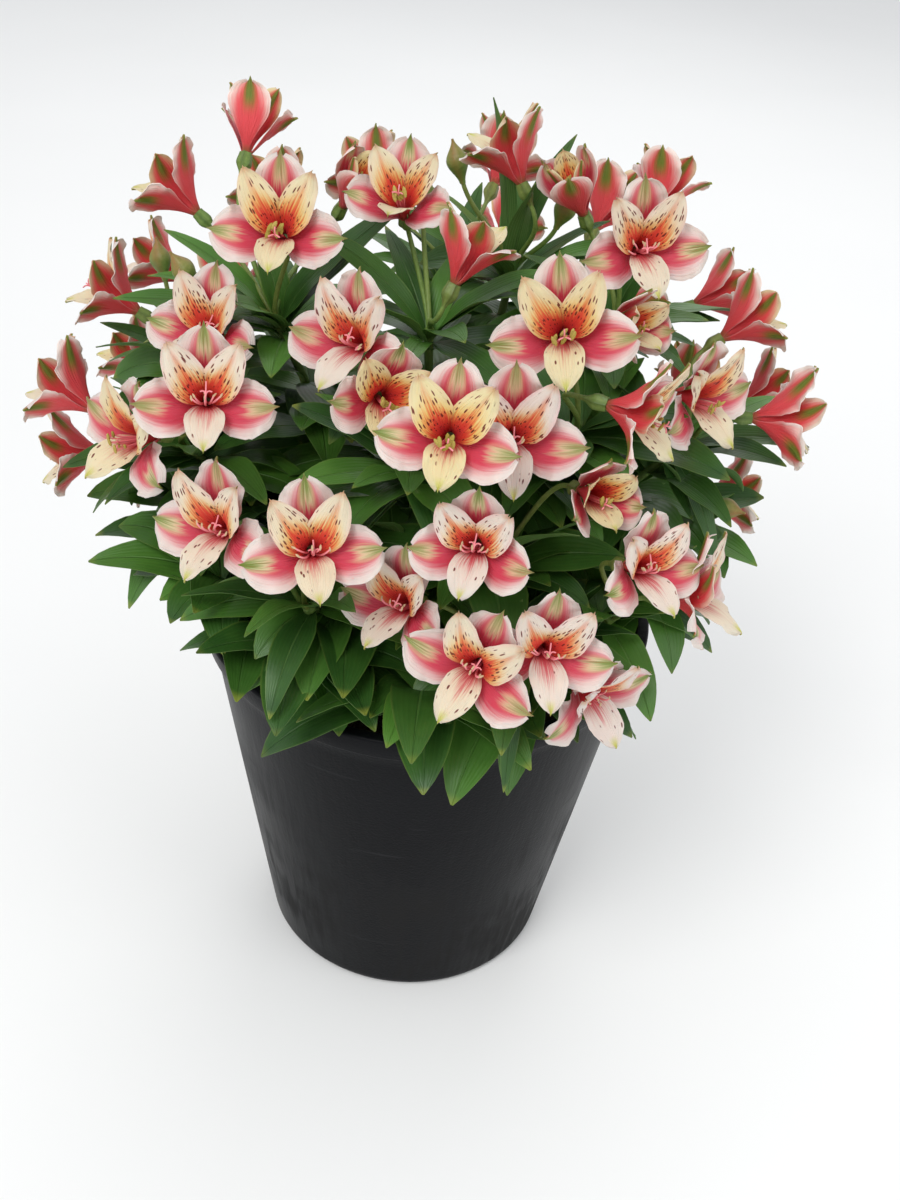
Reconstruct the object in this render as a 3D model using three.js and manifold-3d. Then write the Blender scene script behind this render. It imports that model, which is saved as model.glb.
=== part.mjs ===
// A Peruvian lily in its black nursery pot, in millimetres, +Z up.
// The origin is the middle of the pot's underside, and the best side faces -Y.
// Flowering stems and leafy shoots rise from the soil. Each flowering stem ends in
// an umbel, whose rays carry trumpet-shaped blooms of three broad outer tepals and
// three narrow inner ones. Turns are degrees from the front (-Y) towards +X.
import * as THREE from "three";
import { mergeVertices } from "three/addons/utils/BufferGeometryUtils.js";
import Module from "manifold-3d";

const wasm = await Module();
wasm.setup();

// Pot and soil
const POT_HEIGHT = 190;
const RIM_RADIUS = 100;
const BASE_RADIUS = 70;
const WALL = 2.2;
const FLOOR = 3;
const LIP_HEIGHT = 11;
const LIP_OUT = 3;
const LIP_EDGE = 1;
const FOOT_ROUNDING = 5;
const DRAIN_HOLES = 6;
const DRAIN_RADIUS = 5;
const DRAIN_RING = 42;
const DRAIN_TURN = 15;
const DRAIN_SIDES = 6;
const SOIL_TOP = 172;
const SOIL_GAP = 0.4;
const POT_SIDES = 28;

// Stems, rays and leaves
const STEM_DEPTH = 14;
const STEM_RADIUS = 2.3;
const STEM_TIP_RADIUS = 1.7;
const STEM_SIDES = 4;
const STEM_STEPS = 4;
const HOLE_RADIUS = 3.5;
const HOLE_SIDES = 5;
const NODE_GAP = 0.35;
const CROWN_LENGTH = 5;
const CROWN_RADIUS = 2.4;
const RAY_RADIUS = 1.1;
const RAY_BEND = 0.64;
const RAY_EASE = 0.35;
const ROOT_SHARE = 0.45;
const OVARY_RADIUS = 3.1;
const OVARY_LENGTH = 8;
const LEAF_LENGTH = 62;
const LEAF_WIDTH = 22.5;
const LEAF_THICKNESS = 0.9;
const LEAF_FOLD = 0.22;
const LEAF_RINGS = [0.28, 0.66];
const SMALL_LEAF = 76;
const SMALL_LEAF_RINGS = [0.45];
const GOLDEN_TURN = 137.5;
const RING_NEAR = 1e-3;

// Blooms
const BLOOM_SIZE = 0.82;
const THROAT_DEPTH = 10;
const TEPAL_THICKNESS = 0.9;
const OUTER_ROWS = [0.45, 0.8];
const INNER_ROWS = [0.6];
const BUD_LENGTH = 17;
const BUD_RADIUS = 4.5;
const BUD_TIP_RADIUS = 0.8;

// The canopy is a ball a little flattened from above
const CANOPY_MIDDLE = [0, 6, 272];
const CANOPY_RADII = [146, 138, 112];

const RADIANS = Math.PI / 180;
const MERGE_DISTANCE = 1e-3;

// A tepal's midrib is a cubic curve in the bloom's own frame. Each of its four points is
// [how far forward along the bloom's axis, how far out from it], for an open bloom and
// for a closed one, and the tepal swings from its turn at the foot to that at the tip.
// These sizes are those of a show bloom. A pot's blooms have BLOOM_SIZE of them.
const CLOSED_MIDRIB = {
  outer: [[1, 2], [10, 7.5], [24, 11.5], [34, 4.5]],
  inner: [[1, 2], [11, 3], [24, 5.5], [32, 1.5]],
};
const TEPALS = [
  { whorl: "outer", foot: 0, tip: 0, width: 24, midrib: [[1, 2], [10, 6], [18, 13], [26, 31]] },
  { whorl: "inner", foot: 66, tip: 33, width: 15.5, midrib: [[1, 2], [14, 2], [23, 8], [30, 27]] },
  { whorl: "outer", foot: 120, tip: 94, width: 25, midrib: [[1, 2], [10, 6], [19, 13], [20, 30]] },
  { whorl: "inner", foot: 180, tip: 180, width: 15.5, midrib: [[1, 2], [12, 2], [24, 6], [32, 21]] },
  { whorl: "outer", foot: 240, tip: 266, width: 25, midrib: [[1, 2], [10, 6], [19, 13], [20, 30]] },
  { whorl: "inner", foot: 294, tip: 327, width: 15.5, midrib: [[1, 2], [14, 2], [23, 8], [30, 27]] },
];

const SWING = [0, 0, 0.4, 1];

// A tepal's outline: how wide its claw is and where along it the blade is widest, both as
// shares, and how deeply the blade is cupped at its foot and at its tip.
const CLAW = { outer: 0.16, inner: 0.18 };
const WIDEST = { outer: 0.7, inner: 0.62 };
const CUP = [0.35, 0.06];
const CLOSED_WIDTH = 0.7;

// The rings that a bloom's tepals grow from: the radius of the seed case's rim, then the
// ledge just within it and the inner tepals' own rim, each as [how far ahead, share of it].
const RIM_OF_CASE = 2.9;
const LEDGE = [0.9, 0.78];
const INNER_RIM = [1.5, 0.29];
const MOUTH_AHEAD = 1.3;

// Where the corners of those rings lie: between the outer tepals' feet, between the inner
// ones', round the case's belly and round the ray.
const OUTER_CORNERS = [-52, 52, 180];
const INNER_CORNERS = [0, 112, 248];
const BELLY_CORNERS = [-52, 0, 52, 116, 180, 244];
const RAY_CORNERS = [-26, 84, 212];

// Each flowering stem: where its rays meet, then each bloom as the place of its throat,
// its turn, its lift above the horizon, its roll and how far it has opened, from 0 to 1.
const FLOWERING_STEMS = [
  { name: "top_left", crown: [-66, -12, 324],
    blooms: [[-62, -38, 374, -4, 33, 2, 1], [-110, 16, 364, -105, 38, 0, 0.75],
      [-84, 32, 386, 172, 42, 0, 0.55], [-42, 22, 370, 55, 58, 0, 0.25]],
    buds: [[-106, -24, 357]] },
  { name: "left_back", crown: [-104, 14, 290],
    blooms: [[-88, -42, 334, -22, 40, 0, 0.9], [-132, -6, 328, -92, 32, 0, 0.8]],
    buds: [[-124, 30, 340]] },
  { name: "left", crown: [-98, -34, 276],
    blooms: [[-108, -80, 308, -40, 16, -18, 1], [-80, -92, 332, 8, 30, 0, 1],
      [-144, -38, 300, -105, 30, 0, 0.8], [-148, -22, 264, -80, 2, 0, 0.8]],
    buds: [] },
  { name: "lower_left", crown: [-42, -90, 244],
    blooms: [[-72, -112, 292, -28, 25, 4, 1], [-38, -126, 296, 10, 32, 6, 1]],
    buds: [] },
  { name: "centre", crown: [-8, -64, 294],
    blooms: [[-30, -70, 348, -30, 24, 0, 1], [-18, -98, 342, 16, 20, -14, 0.75],
      [6, -124, 344, -2, 28, -4, 0.95], [27, -100, 332, 4, 22, 2, 1.05]],
    buds: [] },
  { name: "upper_middle", crown: [-6, -22, 330],
    blooms: [[6, -44, 372, 130, 62, 0, 0.6], [-20, -10, 378, -10, 50, 0, 0.8]],
    buds: [[-14, 14, 384]] },
  { name: "top_middle", crown: [24, 28, 334],
    blooms: [[20, 14, 390, -120, 55, 0, 0.75]],
    buds: [[-4, 34, 390], [46, 22, 378]] },
  { name: "top_right", crown: [66, 8, 326],
    blooms: [[70, -24, 374, 14, 22, 6, 1], [82, 36, 374, 150, 55, 0, 0.6],
      [46, 10, 380, -60, 60, 0, 0.3]],
    buds: [] },
  { name: "centre_right", crown: [52, -44, 304],
    blooms: [[42, -78, 362, -4, 24, 10, 1.05], [64, -58, 358, 45, 20, 0, 0.4],
      [68, -92, 342, 66, 0, 12, 0.9]],
    buds: [] },
  { name: "right", crown: [98, -14, 284],
    blooms: [[96, -50, 328, 44, 12, 8, 0.95], [132, -30, 312, 92, 2, 8, 0.9],
      [118, 2, 336, 110, 34, 0, 0.7]],
    buds: [[128, -34, 270]] },
  { name: "lower_right", crown: [38, -90, 230],
    blooms: [[22, -134, 258, -16, 20, -18, 1.05], [46, -130, 264, 12, 20, -4, 1],
      [66, -114, 234, 38, -4, 14, 1], [-6, -112, 266, -34, 26, 0, 0.9]],
    buds: [] },
  { name: "low_right_side", crown: [74, -66, 234],
    blooms: [[100, -96, 270, 74, 20, 0, 1], [78, -108, 288, 34, 25, 0, 0.85]],
    buds: [] },
  { name: "low_middle", crown: [24, -72, 256],
    blooms: [[18, -124, 302, -12, 22, 0, 0.85], [58, -98, 311, 26, 20, 0, 0.5]],
    buds: [] },
];

// The umbels that the best side doesn't show, as the direction in which each lies from
// the canopy's middle: turn, then lift. Their blooms spread evenly round that direction.
const FAR_UMBELS = [
  ["right_far", 112, -6], ["right_back", 136, 26], ["back_high", 180, 40], ["back_low", 170, -10],
  ["left_far_high", -126, 24], ["left_far_low", -114, -14],
];
const FAR_BLOOMS = 3;
const FAR_SPREAD = 16;
const FAR_CROWN_SHARE = 0.62;
const FAR_START = 0.17;
const FAR_FLARE = 1.8;
const FAR_LIFT = 24;

// Leafy shoots with no flowers: turn, distance of the root from the middle, height and lean
const SHOOTS = [
  [-55, 62, 232, 42], [-28, 66, 222, 36], [2, 70, 216, 34], [-82, 68, 240, 40],
  [30, 72, 214, 30], [62, 66, 236, 38], [92, 68, 244, 40], [122, 66, 232, 38],
  [152, 68, 240, 36], [182, 66, 236, 40], [-150, 68, 234, 38], [-118, 66, 240, 38],
  [-12, 40, 262, 26], [40, 30, 300, 14],
];
const SHOOT_LEAVES = 7;
const STEM_LEAVES = 5;
const WHORL_LEAVES = 5;

// Small vector helpers on [x, y, z]
const plus = (a, b) => [a[0] + b[0], a[1] + b[1], a[2] + b[2]];
const minus = (a, b) => [a[0] - b[0], a[1] - b[1], a[2] - b[2]];
const times = (a, k) => [a[0] * k, a[1] * k, a[2] * k];
const dot = (a, b) => a[0] * b[0] + a[1] * b[1] + a[2] * b[2];
const cross = ([ax, ay, az], [bx, by, bz]) => [ay * bz - az * by, az * bx - ax * bz, ax * by - ay * bx];
const unit = (a) => times(a, 1 / Math.sqrt(dot(a, a)));
const mix = (a, b, k) => a + (b - a) * k;

// The direction of a turn and a lift, both in degrees.
function heading(turn, lift) {
  const flat = Math.cos(lift * RADIANS);
  return [Math.sin(turn * RADIANS) * flat, -Math.cos(turn * RADIANS) * flat, Math.sin(lift * RADIANS)];
}

// A point of a cubic curve with control points p, and its direction there.
function cubic(p, s) {
  const r = 1 - s;
  const weights = [r * r * r, 3 * r * r * s, 3 * r * s * s, s * s * s];
  return p.reduce((sum, q, i) => plus(sum, times(q, weights[i])), [0, 0, 0]);
}
function cubicDirection(p, s) {
  const r = 1 - s;
  const weights = [r * r, 2 * r * s, s * s];
  const steps = [minus(p[1], p[0]), minus(p[2], p[1]), minus(p[3], p[2])];
  return unit(steps.reduce((sum, q, i) => plus(sum, times(q, weights[i])), [0, 0, 0]));
}

// A repeatable draw from 0 to 1, the same for the same seed.
function drawer(seed) {
  let state = seed * 7919 + 17;
  return () => {
    state = (state * 16807) % 2147483647;
    return state / 2147483647;
  };
}

// A bloom's own frame: the foot of its tepals, its axis, its upper side and its right.
function bloomFrame([x, y, z, turn, lift, roll, open]) {
  const axis = heading(turn, lift);
  const level = unit(cross([0, 0, 1], axis));
  const upright = cross(axis, level);
  const up = plus(times(upright, Math.cos(roll * RADIANS)), times(level, -Math.sin(roll * RADIANS)));
  return { foot: minus([x, y, z], times(axis, THROAT_DEPTH)), axis, up, right: cross(up, axis), open };
}

// A tepal's half width at a share s of its length: a narrow claw, then a broad blade,
// round at the end in the outer whorl and pointed in the inner one.
function tepalShare(whorl, s) {
  const widest = WIDEST[whorl];
  if (s < widest) {
    const q = s / widest;
    return mix(CLAW[whorl], 1, Math.pow(q * q * (3 - 2 * q), 1.1));
  }
  const q = (s - widest) / (1 - widest);
  if (whorl === "outer") return Math.sqrt(Math.max(0, 1 - q * q));
  return Math.pow(Math.cos((q * Math.PI) / 2), 0.85);
}

// A point of a tepal at share s of its length and t across, from -1 to 1, and the
// direction that its inner face looks in.
function tepalPoint(bloom, tepal, s, t) {
  const points = tepal.midrib.map(([forward, out], i) => {
    const k = Math.min(bloom.open, 1);
    const wide = BLOOM_SIZE * Math.max(bloom.open, 1);
    const turn = mix(tepal.foot, tepal.tip, SWING[i] * k) * RADIANS;
    const ahead = mix(CLOSED_MIDRIB[tepal.whorl][i][0], forward, k) * wide;
    const away = mix(CLOSED_MIDRIB[tepal.whorl][i][1], out, k) * wide;
    const radial = plus(times(bloom.up, Math.cos(turn)), times(bloom.right, Math.sin(turn)));
    return plus(plus(bloom.foot, times(bloom.axis, ahead)), times(radial, away));
  });
  const middle = cubic(points, s);
  const along = cubicDirection(points, s);
  const reach = minus(middle, bloom.foot);
  const radial = unit(minus(reach, times(bloom.axis, dot(reach, bloom.axis))));
  const facing = minus(times(bloom.axis, dot(along, radial)), times(radial, dot(along, bloom.axis)));
  const inward = unit(minus(facing, times(along, dot(facing, along))));
  const across = cross(along, inward);
  const spread = mix(CLOSED_WIDTH, 1, Math.min(bloom.open, 1));
  const half = ((tepal.width * BLOOM_SIZE) / 2) * tepalShare(tepal.whorl, s) * spread;
  const cup = mix(...CUP, Math.min(1, s / WIDEST.outer)) * half * t * t;
  return { at: plus(plus(middle, times(across, half * t)), times(inward, cup)), inward };
}

// A leaf's half width at a share s of its length, as a share of its greatest.
const leafShare = (s) => Math.pow(Math.sin(Math.PI * Math.pow(s, 0.85)), 1.1);

// A point of a leaf: its midrib rises at its lift and then bends down by its droop, in
// one arc, while the blade turns round it by its twist.
function leafPoint(leaf, s, t) {
  const lift = leaf.lift * RADIANS;
  const droop = leaf.droop * RADIANS;
  const ahead = (leaf.length * (Math.sin(lift) - Math.sin(lift - droop * s))) / droop;
  const rise = (leaf.length * (Math.cos(lift - droop * s) - Math.cos(lift))) / droop;
  const out = heading(leaf.turn, 0);
  const level = [out[1], -out[0], 0];
  const slope = lift - droop * s;
  const upper = plus(times(out, -Math.sin(slope)), [0, 0, Math.cos(slope)]);
  const twist = leaf.twist * s * RADIANS;
  const across = plus(times(level, Math.cos(twist)), times(upper, Math.sin(twist)));
  const facing = minus(times(upper, Math.cos(twist)), times(level, Math.sin(twist)));
  const half = (leaf.width / 2) * leafShare(s);
  const middle = plus(leaf.base, plus(times(out, ahead), [0, 0, rise]));
  const fold = LEAF_FOLD * half * Math.pow(Math.abs(t), 1.5);
  const edge = plus(times(across, half * t), times(facing, fold));
  return { at: plus(middle, edge), inward: facing };
}

// A stem's curve: up from its root, then over to where its rays or top leaves meet. Its
// two middle control points are given as shares of the way across and of the way up.
const STEM_LOWER = [0, 0.42];
const STEM_UPPER = [0.62, 0.8];
function stemCurve(root, top) {
  const across = minus(top, root);
  const control = ([over, up]) => plus(root, [across[0] * over, across[1] * over, across[2] * up]);
  return [root, control(STEM_LOWER), control(STEM_UPPER), top];
}

// A point on the straight pieces that a stem is built of.
function onChord(curve, s) {
  const step = Math.min(Math.floor(s * STEM_STEPS), STEM_STEPS - 1);
  const from = cubic(curve, step / STEM_STEPS);
  const to = cubic(curve, (step + 1) / STEM_STEPS);
  return plus(from, times(minus(to, from), s * STEM_STEPS - step));
}

// A ray's curve: out of the crown, and into the bloom's foot along the bloom's axis.
function rayCurve(from, up, to, axis) {
  const reach = Math.sqrt(dot(minus(to, from), minus(to, from)));
  const leave = unit(plus(times(up, 0.9), unit(minus(to, from))));
  const ease = reach * RAY_EASE;
  return [from, plus(from, times(leave, ease)), minus(to, times(axis, ease)), to];
}

// The far umbels by rule: blooms evenly round the umbel's direction, on the canopy.
function farUmbel([name, turn, lift], index) {
  const onCanopy = (a, b, share) => {
    const d = heading(a, b);
    return d.map((v, i) => CANOPY_MIDDLE[i] + v * CANOPY_RADII[i] * share);
  };
  const blooms = [];
  for (let i = 0; i < FAR_BLOOMS; i++) {
    const angle = (i / FAR_BLOOMS + index * FAR_START) * 2 * Math.PI;
    const a = turn + (FAR_SPREAD * Math.cos(angle)) / Math.cos(lift * RADIANS);
    const b = lift + FAR_SPREAD * Math.sin(angle);
    const faces = [turn + (a - turn) * FAR_FLARE, FAR_LIFT + (b - lift) * 0.8];
    blooms.push([...onCanopy(a, b, 1), ...faces, 0, i === 1 ? 0.65 : 0.85]);
  }
  return { name, crown: onCanopy(turn, lift - 10, FAR_CROWN_SHARE), blooms, buds: [] };
}
const UMBELS = [...FLOWERING_STEMS, ...FAR_UMBELS.map(farUmbel)];

// Where each flowering stem's root stands in the soil, drawn in towards the middle.
const rootOf = ([x, y]) => [x * ROOT_SHARE, y * ROOT_SHARE, SOIL_TOP + NODE_GAP];

// Every stem with its curve, its direction at the top, and the blooms, rays and bud rays
// of its umbel. The flowering ones come first, then the shoots.
const STEMS = UMBELS.map((umbel) => {
  const curve = stemCurve(rootOf(umbel.crown), umbel.crown);
  const end = cubicDirection(curve, 1);
  const fork = plus(umbel.crown, times(end, NODE_GAP + CROWN_LENGTH * 0.8));
  const blooms = umbel.blooms.map(bloomFrame);
  const rays = blooms.map((b) => rayCurve(fork, end, minus(b.foot, times(b.axis, OVARY_LENGTH)), b.axis));
  const budRays = umbel.buds.map((tip) => {
    const axis = unit(plus(unit(minus(tip, fork)), [0, 0, 0.6]));
    return rayCurve(fork, end, minus(tip, times(axis, BUD_LENGTH)), axis);
  });
  return { name: umbel.name, curve, end, blooms, rays, budRays, flowering: true };
});
SHOOTS.forEach(([turn, distance, height, lean], i) => {
  const root = plus(times(heading(turn, 0), distance), [0, 0, SOIL_TOP + NODE_GAP]);
  const top = plus(times(heading(turn, 0), distance + lean), [0, 0, height]);
  const curve = stemCurve(root, top);
  const name = "shoot_" + String(i + 1).padStart(2, "0");
  STEMS.push({ name, curve, blooms: [], rays: [], budRays: [], flowering: false });
});

// Places that a leaf keeps clear of: [x, y, z, how near a leaf may come, whose stem's it
// is, and, on a leaf, its share of the leaf's length].
const BLOOM_ROOM = 5.5;
const BUD_ROOM = 7.5;
const RAY_ROOM = 4.5;
const STEM_ROOM = 5;
const LEAF_ROOM = 4.6;
const SISTER_ROOM = 3.6;
const SISTER_FROM = 0.4;
const POT_ROOM = 3.5;
const TEPAL_ROWS = [0.25, 0.4, 0.55, 0.7, 0.85, 1];
const LEAF_ROWS = [0.22, 0.34, 0.46, 0.58, 0.7, 0.82, 0.92, 1];
const ACROSS = [-0.75, 0, 0.75];

function fixedPlaces() {
  const places = [];
  STEMS.forEach((stem, owner) => {
    for (let i = 0; i <= 20; i++) places.push([...cubic(stem.curve, i / 20), STEM_ROOM, owner]);
    for (const ray of [...stem.rays, ...stem.budRays])
      for (let i = 2; i <= 10; i++) places.push([...cubic(ray, i / 10), RAY_ROOM, -1]);
    for (const ray of stem.budRays) {
      for (const k of [0.3, 0.6, 1])
        places.push([...plus(ray[3], times(cubicDirection(ray, 1), BUD_LENGTH * k)), BUD_ROOM, -1]);
    }
    for (const bloom of stem.blooms)
      for (const tepal of TEPALS)
        for (const s of TEPAL_ROWS)
          for (const t of ACROSS) places.push([...tepalPoint(bloom, tepal, s, t).at, BLOOM_ROOM, -1]);
  });
  return places;
}

// The pot's outer radius at a height.
const potRadius = (z) => mix(BASE_RADIUS, RIM_RADIUS, z / POT_HEIGHT);

// Whether a leaf clears the pot and the soil, and every place that isn't its own stem's.
function isClear(points, places, owner) {
  for (const p of points) {
    const r = Math.hypot(p[0], p[1]);
    if (p[2] < POT_HEIGHT + POT_ROOM) {
      const outside = r > potRadius(p[2]) + LIP_OUT + POT_ROOM;
      const inside = r < potRadius(p[2]) - WALL - POT_ROOM && p[2] > SOIL_TOP + POT_ROOM;
      if (!outside && !inside) return false;
    }
    for (const q of places) {
      if (q[4] === owner && (p[3] < SISTER_FROM || !(q[5] > SISTER_FROM))) continue;
      const room = q[4] === owner ? SISTER_ROOM : q[3];
      const dx = p[0] - q[0];
      const dy = p[1] - q[1];
      const dz = p[2] - q[2];
      if (dx * dx + dy * dy + dz * dz < room * room) return false;
    }
  }
  return true;
}

// The ways in which a leaf may be bent clear, in the order tried: added turn, lift, droop.
const BENDS = [
  [0, 0, 0], [14, 6, 0], [-14, 6, 0], [0, -16, 10], [0, 16, 8], [26, -8, 14], [-26, -8, 14],
  [38, 10, 0], [-38, 10, 0], [10, -28, 0], [-10, -28, 0], [0, 26, 40],
];
const SHORTER = [1, 0.8, 0.62];

// How leaves are drawn: where the lowest and the highest one leave the stem, their sizes
// there, and the ranges of each leaf's own size, width, lift, droop and twist.
const GROWTH = {
  flowering: { from: 0.34, to: 0.86, low: 1.12, high: 0.9, rising: 0, count: STEM_LEAVES },
  shoot: { from: 0.45, to: 0.96, low: 1.15, high: 0.95, rising: 14, count: SHOOT_LEAVES },
};
const SPIRAL_DRAWS = {
  size: [0.88, 1.1], width: [0.85, 1.1], lift: [22, 48], droop: [45, 85], twist: [-28, 28],
};
const WHORL_DRAWS = {
  size: [0.72, 0.95], width: [0.58, 0.75], lift: [14, 36], droop: [35, 70], twist: [-20, 20],
};
const WHORL_TURN = 40;
const WHORL_SWAY = 14;
const WHORL_PLACES = [0.95, 0.98];

// The leaves that a stem would bear: spiralling up it, and a whorl under an umbel.
function wantedLeaves(stem, draw) {
  const wanted = [];
  const first = draw() * 360;
  const { from, to, low, high, rising, count } = stem.flowering ? GROWTH.flowering : GROWTH.shoot;
  for (let i = 0; i < count; i++) {
    const up = i / (count - 1);
    const size = mix(low, high, up) * mix(...SPIRAL_DRAWS.size, draw());
    const width = LEAF_WIDTH * size * mix(...SPIRAL_DRAWS.width, draw());
    const lift = mix(...SPIRAL_DRAWS.lift, draw()) + up * rising;
    const droop = mix(...SPIRAL_DRAWS.droop, draw());
    const twist = mix(...SPIRAL_DRAWS.twist, draw());
    const turn = first + i * GOLDEN_TURN;
    wanted.push({ s: mix(from, to, up), turn, length: LEAF_LENGTH * size, width, lift, droop, twist });
  }
  for (let i = 0; stem.flowering && i < WHORL_LEAVES; i++) {
    const turn = first + WHORL_TURN + (i * 360) / WHORL_LEAVES + mix(-WHORL_SWAY, WHORL_SWAY, draw());
    const length = LEAF_LENGTH * mix(...WHORL_DRAWS.size, draw());
    const width = LEAF_WIDTH * mix(...WHORL_DRAWS.width, draw());
    const lift = mix(...WHORL_DRAWS.lift, draw());
    const droop = mix(...WHORL_DRAWS.droop, draw());
    const twist = mix(...WHORL_DRAWS.twist, draw());
    wanted.push({ s: WHORL_PLACES[i % 2], turn, length, width, lift, droop, twist });
  }
  return wanted;
}

// A leaf bent, or made shorter, until it is clear of all places, with its own points.
function clearLeaf(leaf, places, owner) {
  for (const short of SHORTER) {
    for (const [turn, lift, droop] of BENDS) {
      const bent = { ...leaf, length: leaf.length * short, width: leaf.width * Math.sqrt(short) };
      bent.turn += turn;
      bent.lift += lift;
      bent.droop += droop;
      const points = LEAF_ROWS.flatMap((s) => ACROSS.map((t) => [...leafPoint(bent, s, t).at, s]));
      if (isClear(points, places, owner)) return { bent, points };
    }
  }
  return null;
}

// The leaves of one stem that find room. Each then takes up room itself.
function leavesOf(stem, owner, places) {
  const leaves = [];
  for (const leaf of wantedLeaves(stem, drawer(owner + 1))) {
    const placed = clearLeaf({ ...leaf, base: onChord(stem.curve, leaf.s) }, places, owner);
    if (!placed) continue;
    leaves.push(placed.bent);
    for (const [x, y, z, s] of placed.points) places.push([x, y, z, LEAF_ROOM, owner, s]);
  }
  return leaves;
}

// A mesh's vertices and triangles as a solid.
function solid(geometry) {
  const bare = geometry.clone();
  for (const extra of ["normal", "uv"]) if (bare.getAttribute(extra)) bare.deleteAttribute(extra);
  const merged = mergeVertices(bare);
  return new wasm.Manifold(new wasm.Mesh({
    numProp: 3,
    vertProperties: new Float32Array(merged.getAttribute("position").array),
    triVerts: new Uint32Array(merged.index.array),
  }));
}
function solidOf(points, triangles) {
  return new wasm.Manifold(new wasm.Mesh({
    numProp: 3,
    vertProperties: new Float32Array(points.flat()),
    triVerts: new Uint32Array(triangles.flat()),
  }));
}

// The greatest of a solid's pieces, without any scrap that a join leaves.
function largest(body) {
  return body.decompose().reduce((best, piece) => (piece.volume() > best.volume() ? piece : best));
}

// One row of a blade: its left and right edge points, and its upper and lower middle ones.
function bladeRow(points, pointAt, s, thickness) {
  const middle = pointAt(s, 0);
  const lift = times(middle.inward, thickness / 2);
  points.push(pointAt(s, -1).at, pointAt(s, 1).at, plus(middle.at, lift), minus(middle.at, lift));
  return [points.length - 4, points.length - 3, points.length - 2, points.length - 1];
}

// The rest of a blade above its first row, up to its tip. Both faces are split alike,
// and meet at the edge.
function closeBlade(points, triangles, firstRow, rows, pointAt, thickness) {
  let [la, ra, ua, da] = firstRow;
  for (const s of rows.slice(1)) {
    const [lb, rb, ub, db] = bladeRow(points, pointAt, s, thickness);
    triangles.push([lb, db, la], [db, da, la], [db, rb, da], [rb, ra, da]);
    triangles.push([ub, lb, la], [ua, ub, la], [rb, ub, ua], [ra, rb, ua]);
    [la, ra, ua, da] = [lb, rb, ub, db];
  }
  const tip = points.push(pointAt(1, 0).at) - 1;
  triangles.push([tip, da, la], [tip, ra, da], [ua, tip, la], [ra, tip, ua]);
}

// A leaf as a blade that starts from one point, sunk into its stem.
function leafSolid(leaf) {
  const pointAt = (s, t) => leafPoint(leaf, s, t);
  const rings = leaf.length < SMALL_LEAF ? SMALL_LEAF_RINGS : LEAF_RINGS;
  const points = [pointAt(0, 0).at];
  const triangles = [];
  const row = bladeRow(points, pointAt, rings[0], LEAF_THICKNESS);
  const [left, right, upper, under] = row;
  triangles.push([left, under, 0], [under, right, 0], [upper, left, 0], [right, upper, 0]);
  closeBlade(points, triangles, row, rings, pointAt, LEAF_THICKNESS);
  return solidOf(points, triangles);
}

// A round bar along a cubic curve, with a radius at each of its steps. It may stand on a
// straight root of the first radius. Its rings are turned by one slanting direction,
// which no stem, ray or bud follows.
const SLANT = [0.31, 0.94, 0.12];
function barSolid(curve, radii, sides, root) {
  const steps = radii.length - 1;
  const rings = radii.map((radius, i) => {
    const s = Math.min(Math.max(i / steps, RING_NEAR), 1 - RING_NEAR);
    return { centre: cubic(curve, i / steps), along: cubicDirection(curve, s), radius };
  });
  if (root) rings.unshift({ centre: root, along: [0, 0, 1], radius: radii[0] });
  const points = [];
  for (const { centre, along, radius } of rings) {
    const aside = unit(cross(along, SLANT));
    const over = cross(along, aside);
    for (let k = 0; k < sides; k++) {
      const a = (k / sides) * 2 * Math.PI;
      const out = plus(times(aside, Math.cos(a)), times(over, Math.sin(a)));
      points.push(plus(centre, times(out, radius)));
    }
  }
  const at = (i, k) => i * sides + (k % sides);
  const last = rings.length - 1;
  const triangles = [];
  for (let k = 1; k < sides - 1; k++) {
    triangles.push([at(0, 0), at(0, k + 1), at(0, k)]);
    triangles.push([at(last, 0), at(last, k), at(last, k + 1)]);
  }
  for (let k = 0; k < sides; k++) {
    for (let i = 0; i < last; i++) {
      triangles.push([at(i, k), at(i, k + 1), at(i + 1, k + 1)]);
      triangles.push([at(i, k), at(i + 1, k + 1), at(i + 1, k)]);
    }
  }
  return solidOf(points, triangles);
}
const straight = (from, to) => [0, 1 / 3, 2 / 3, 1].map((k) => plus(from, times(minus(to, from), k)));

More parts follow.
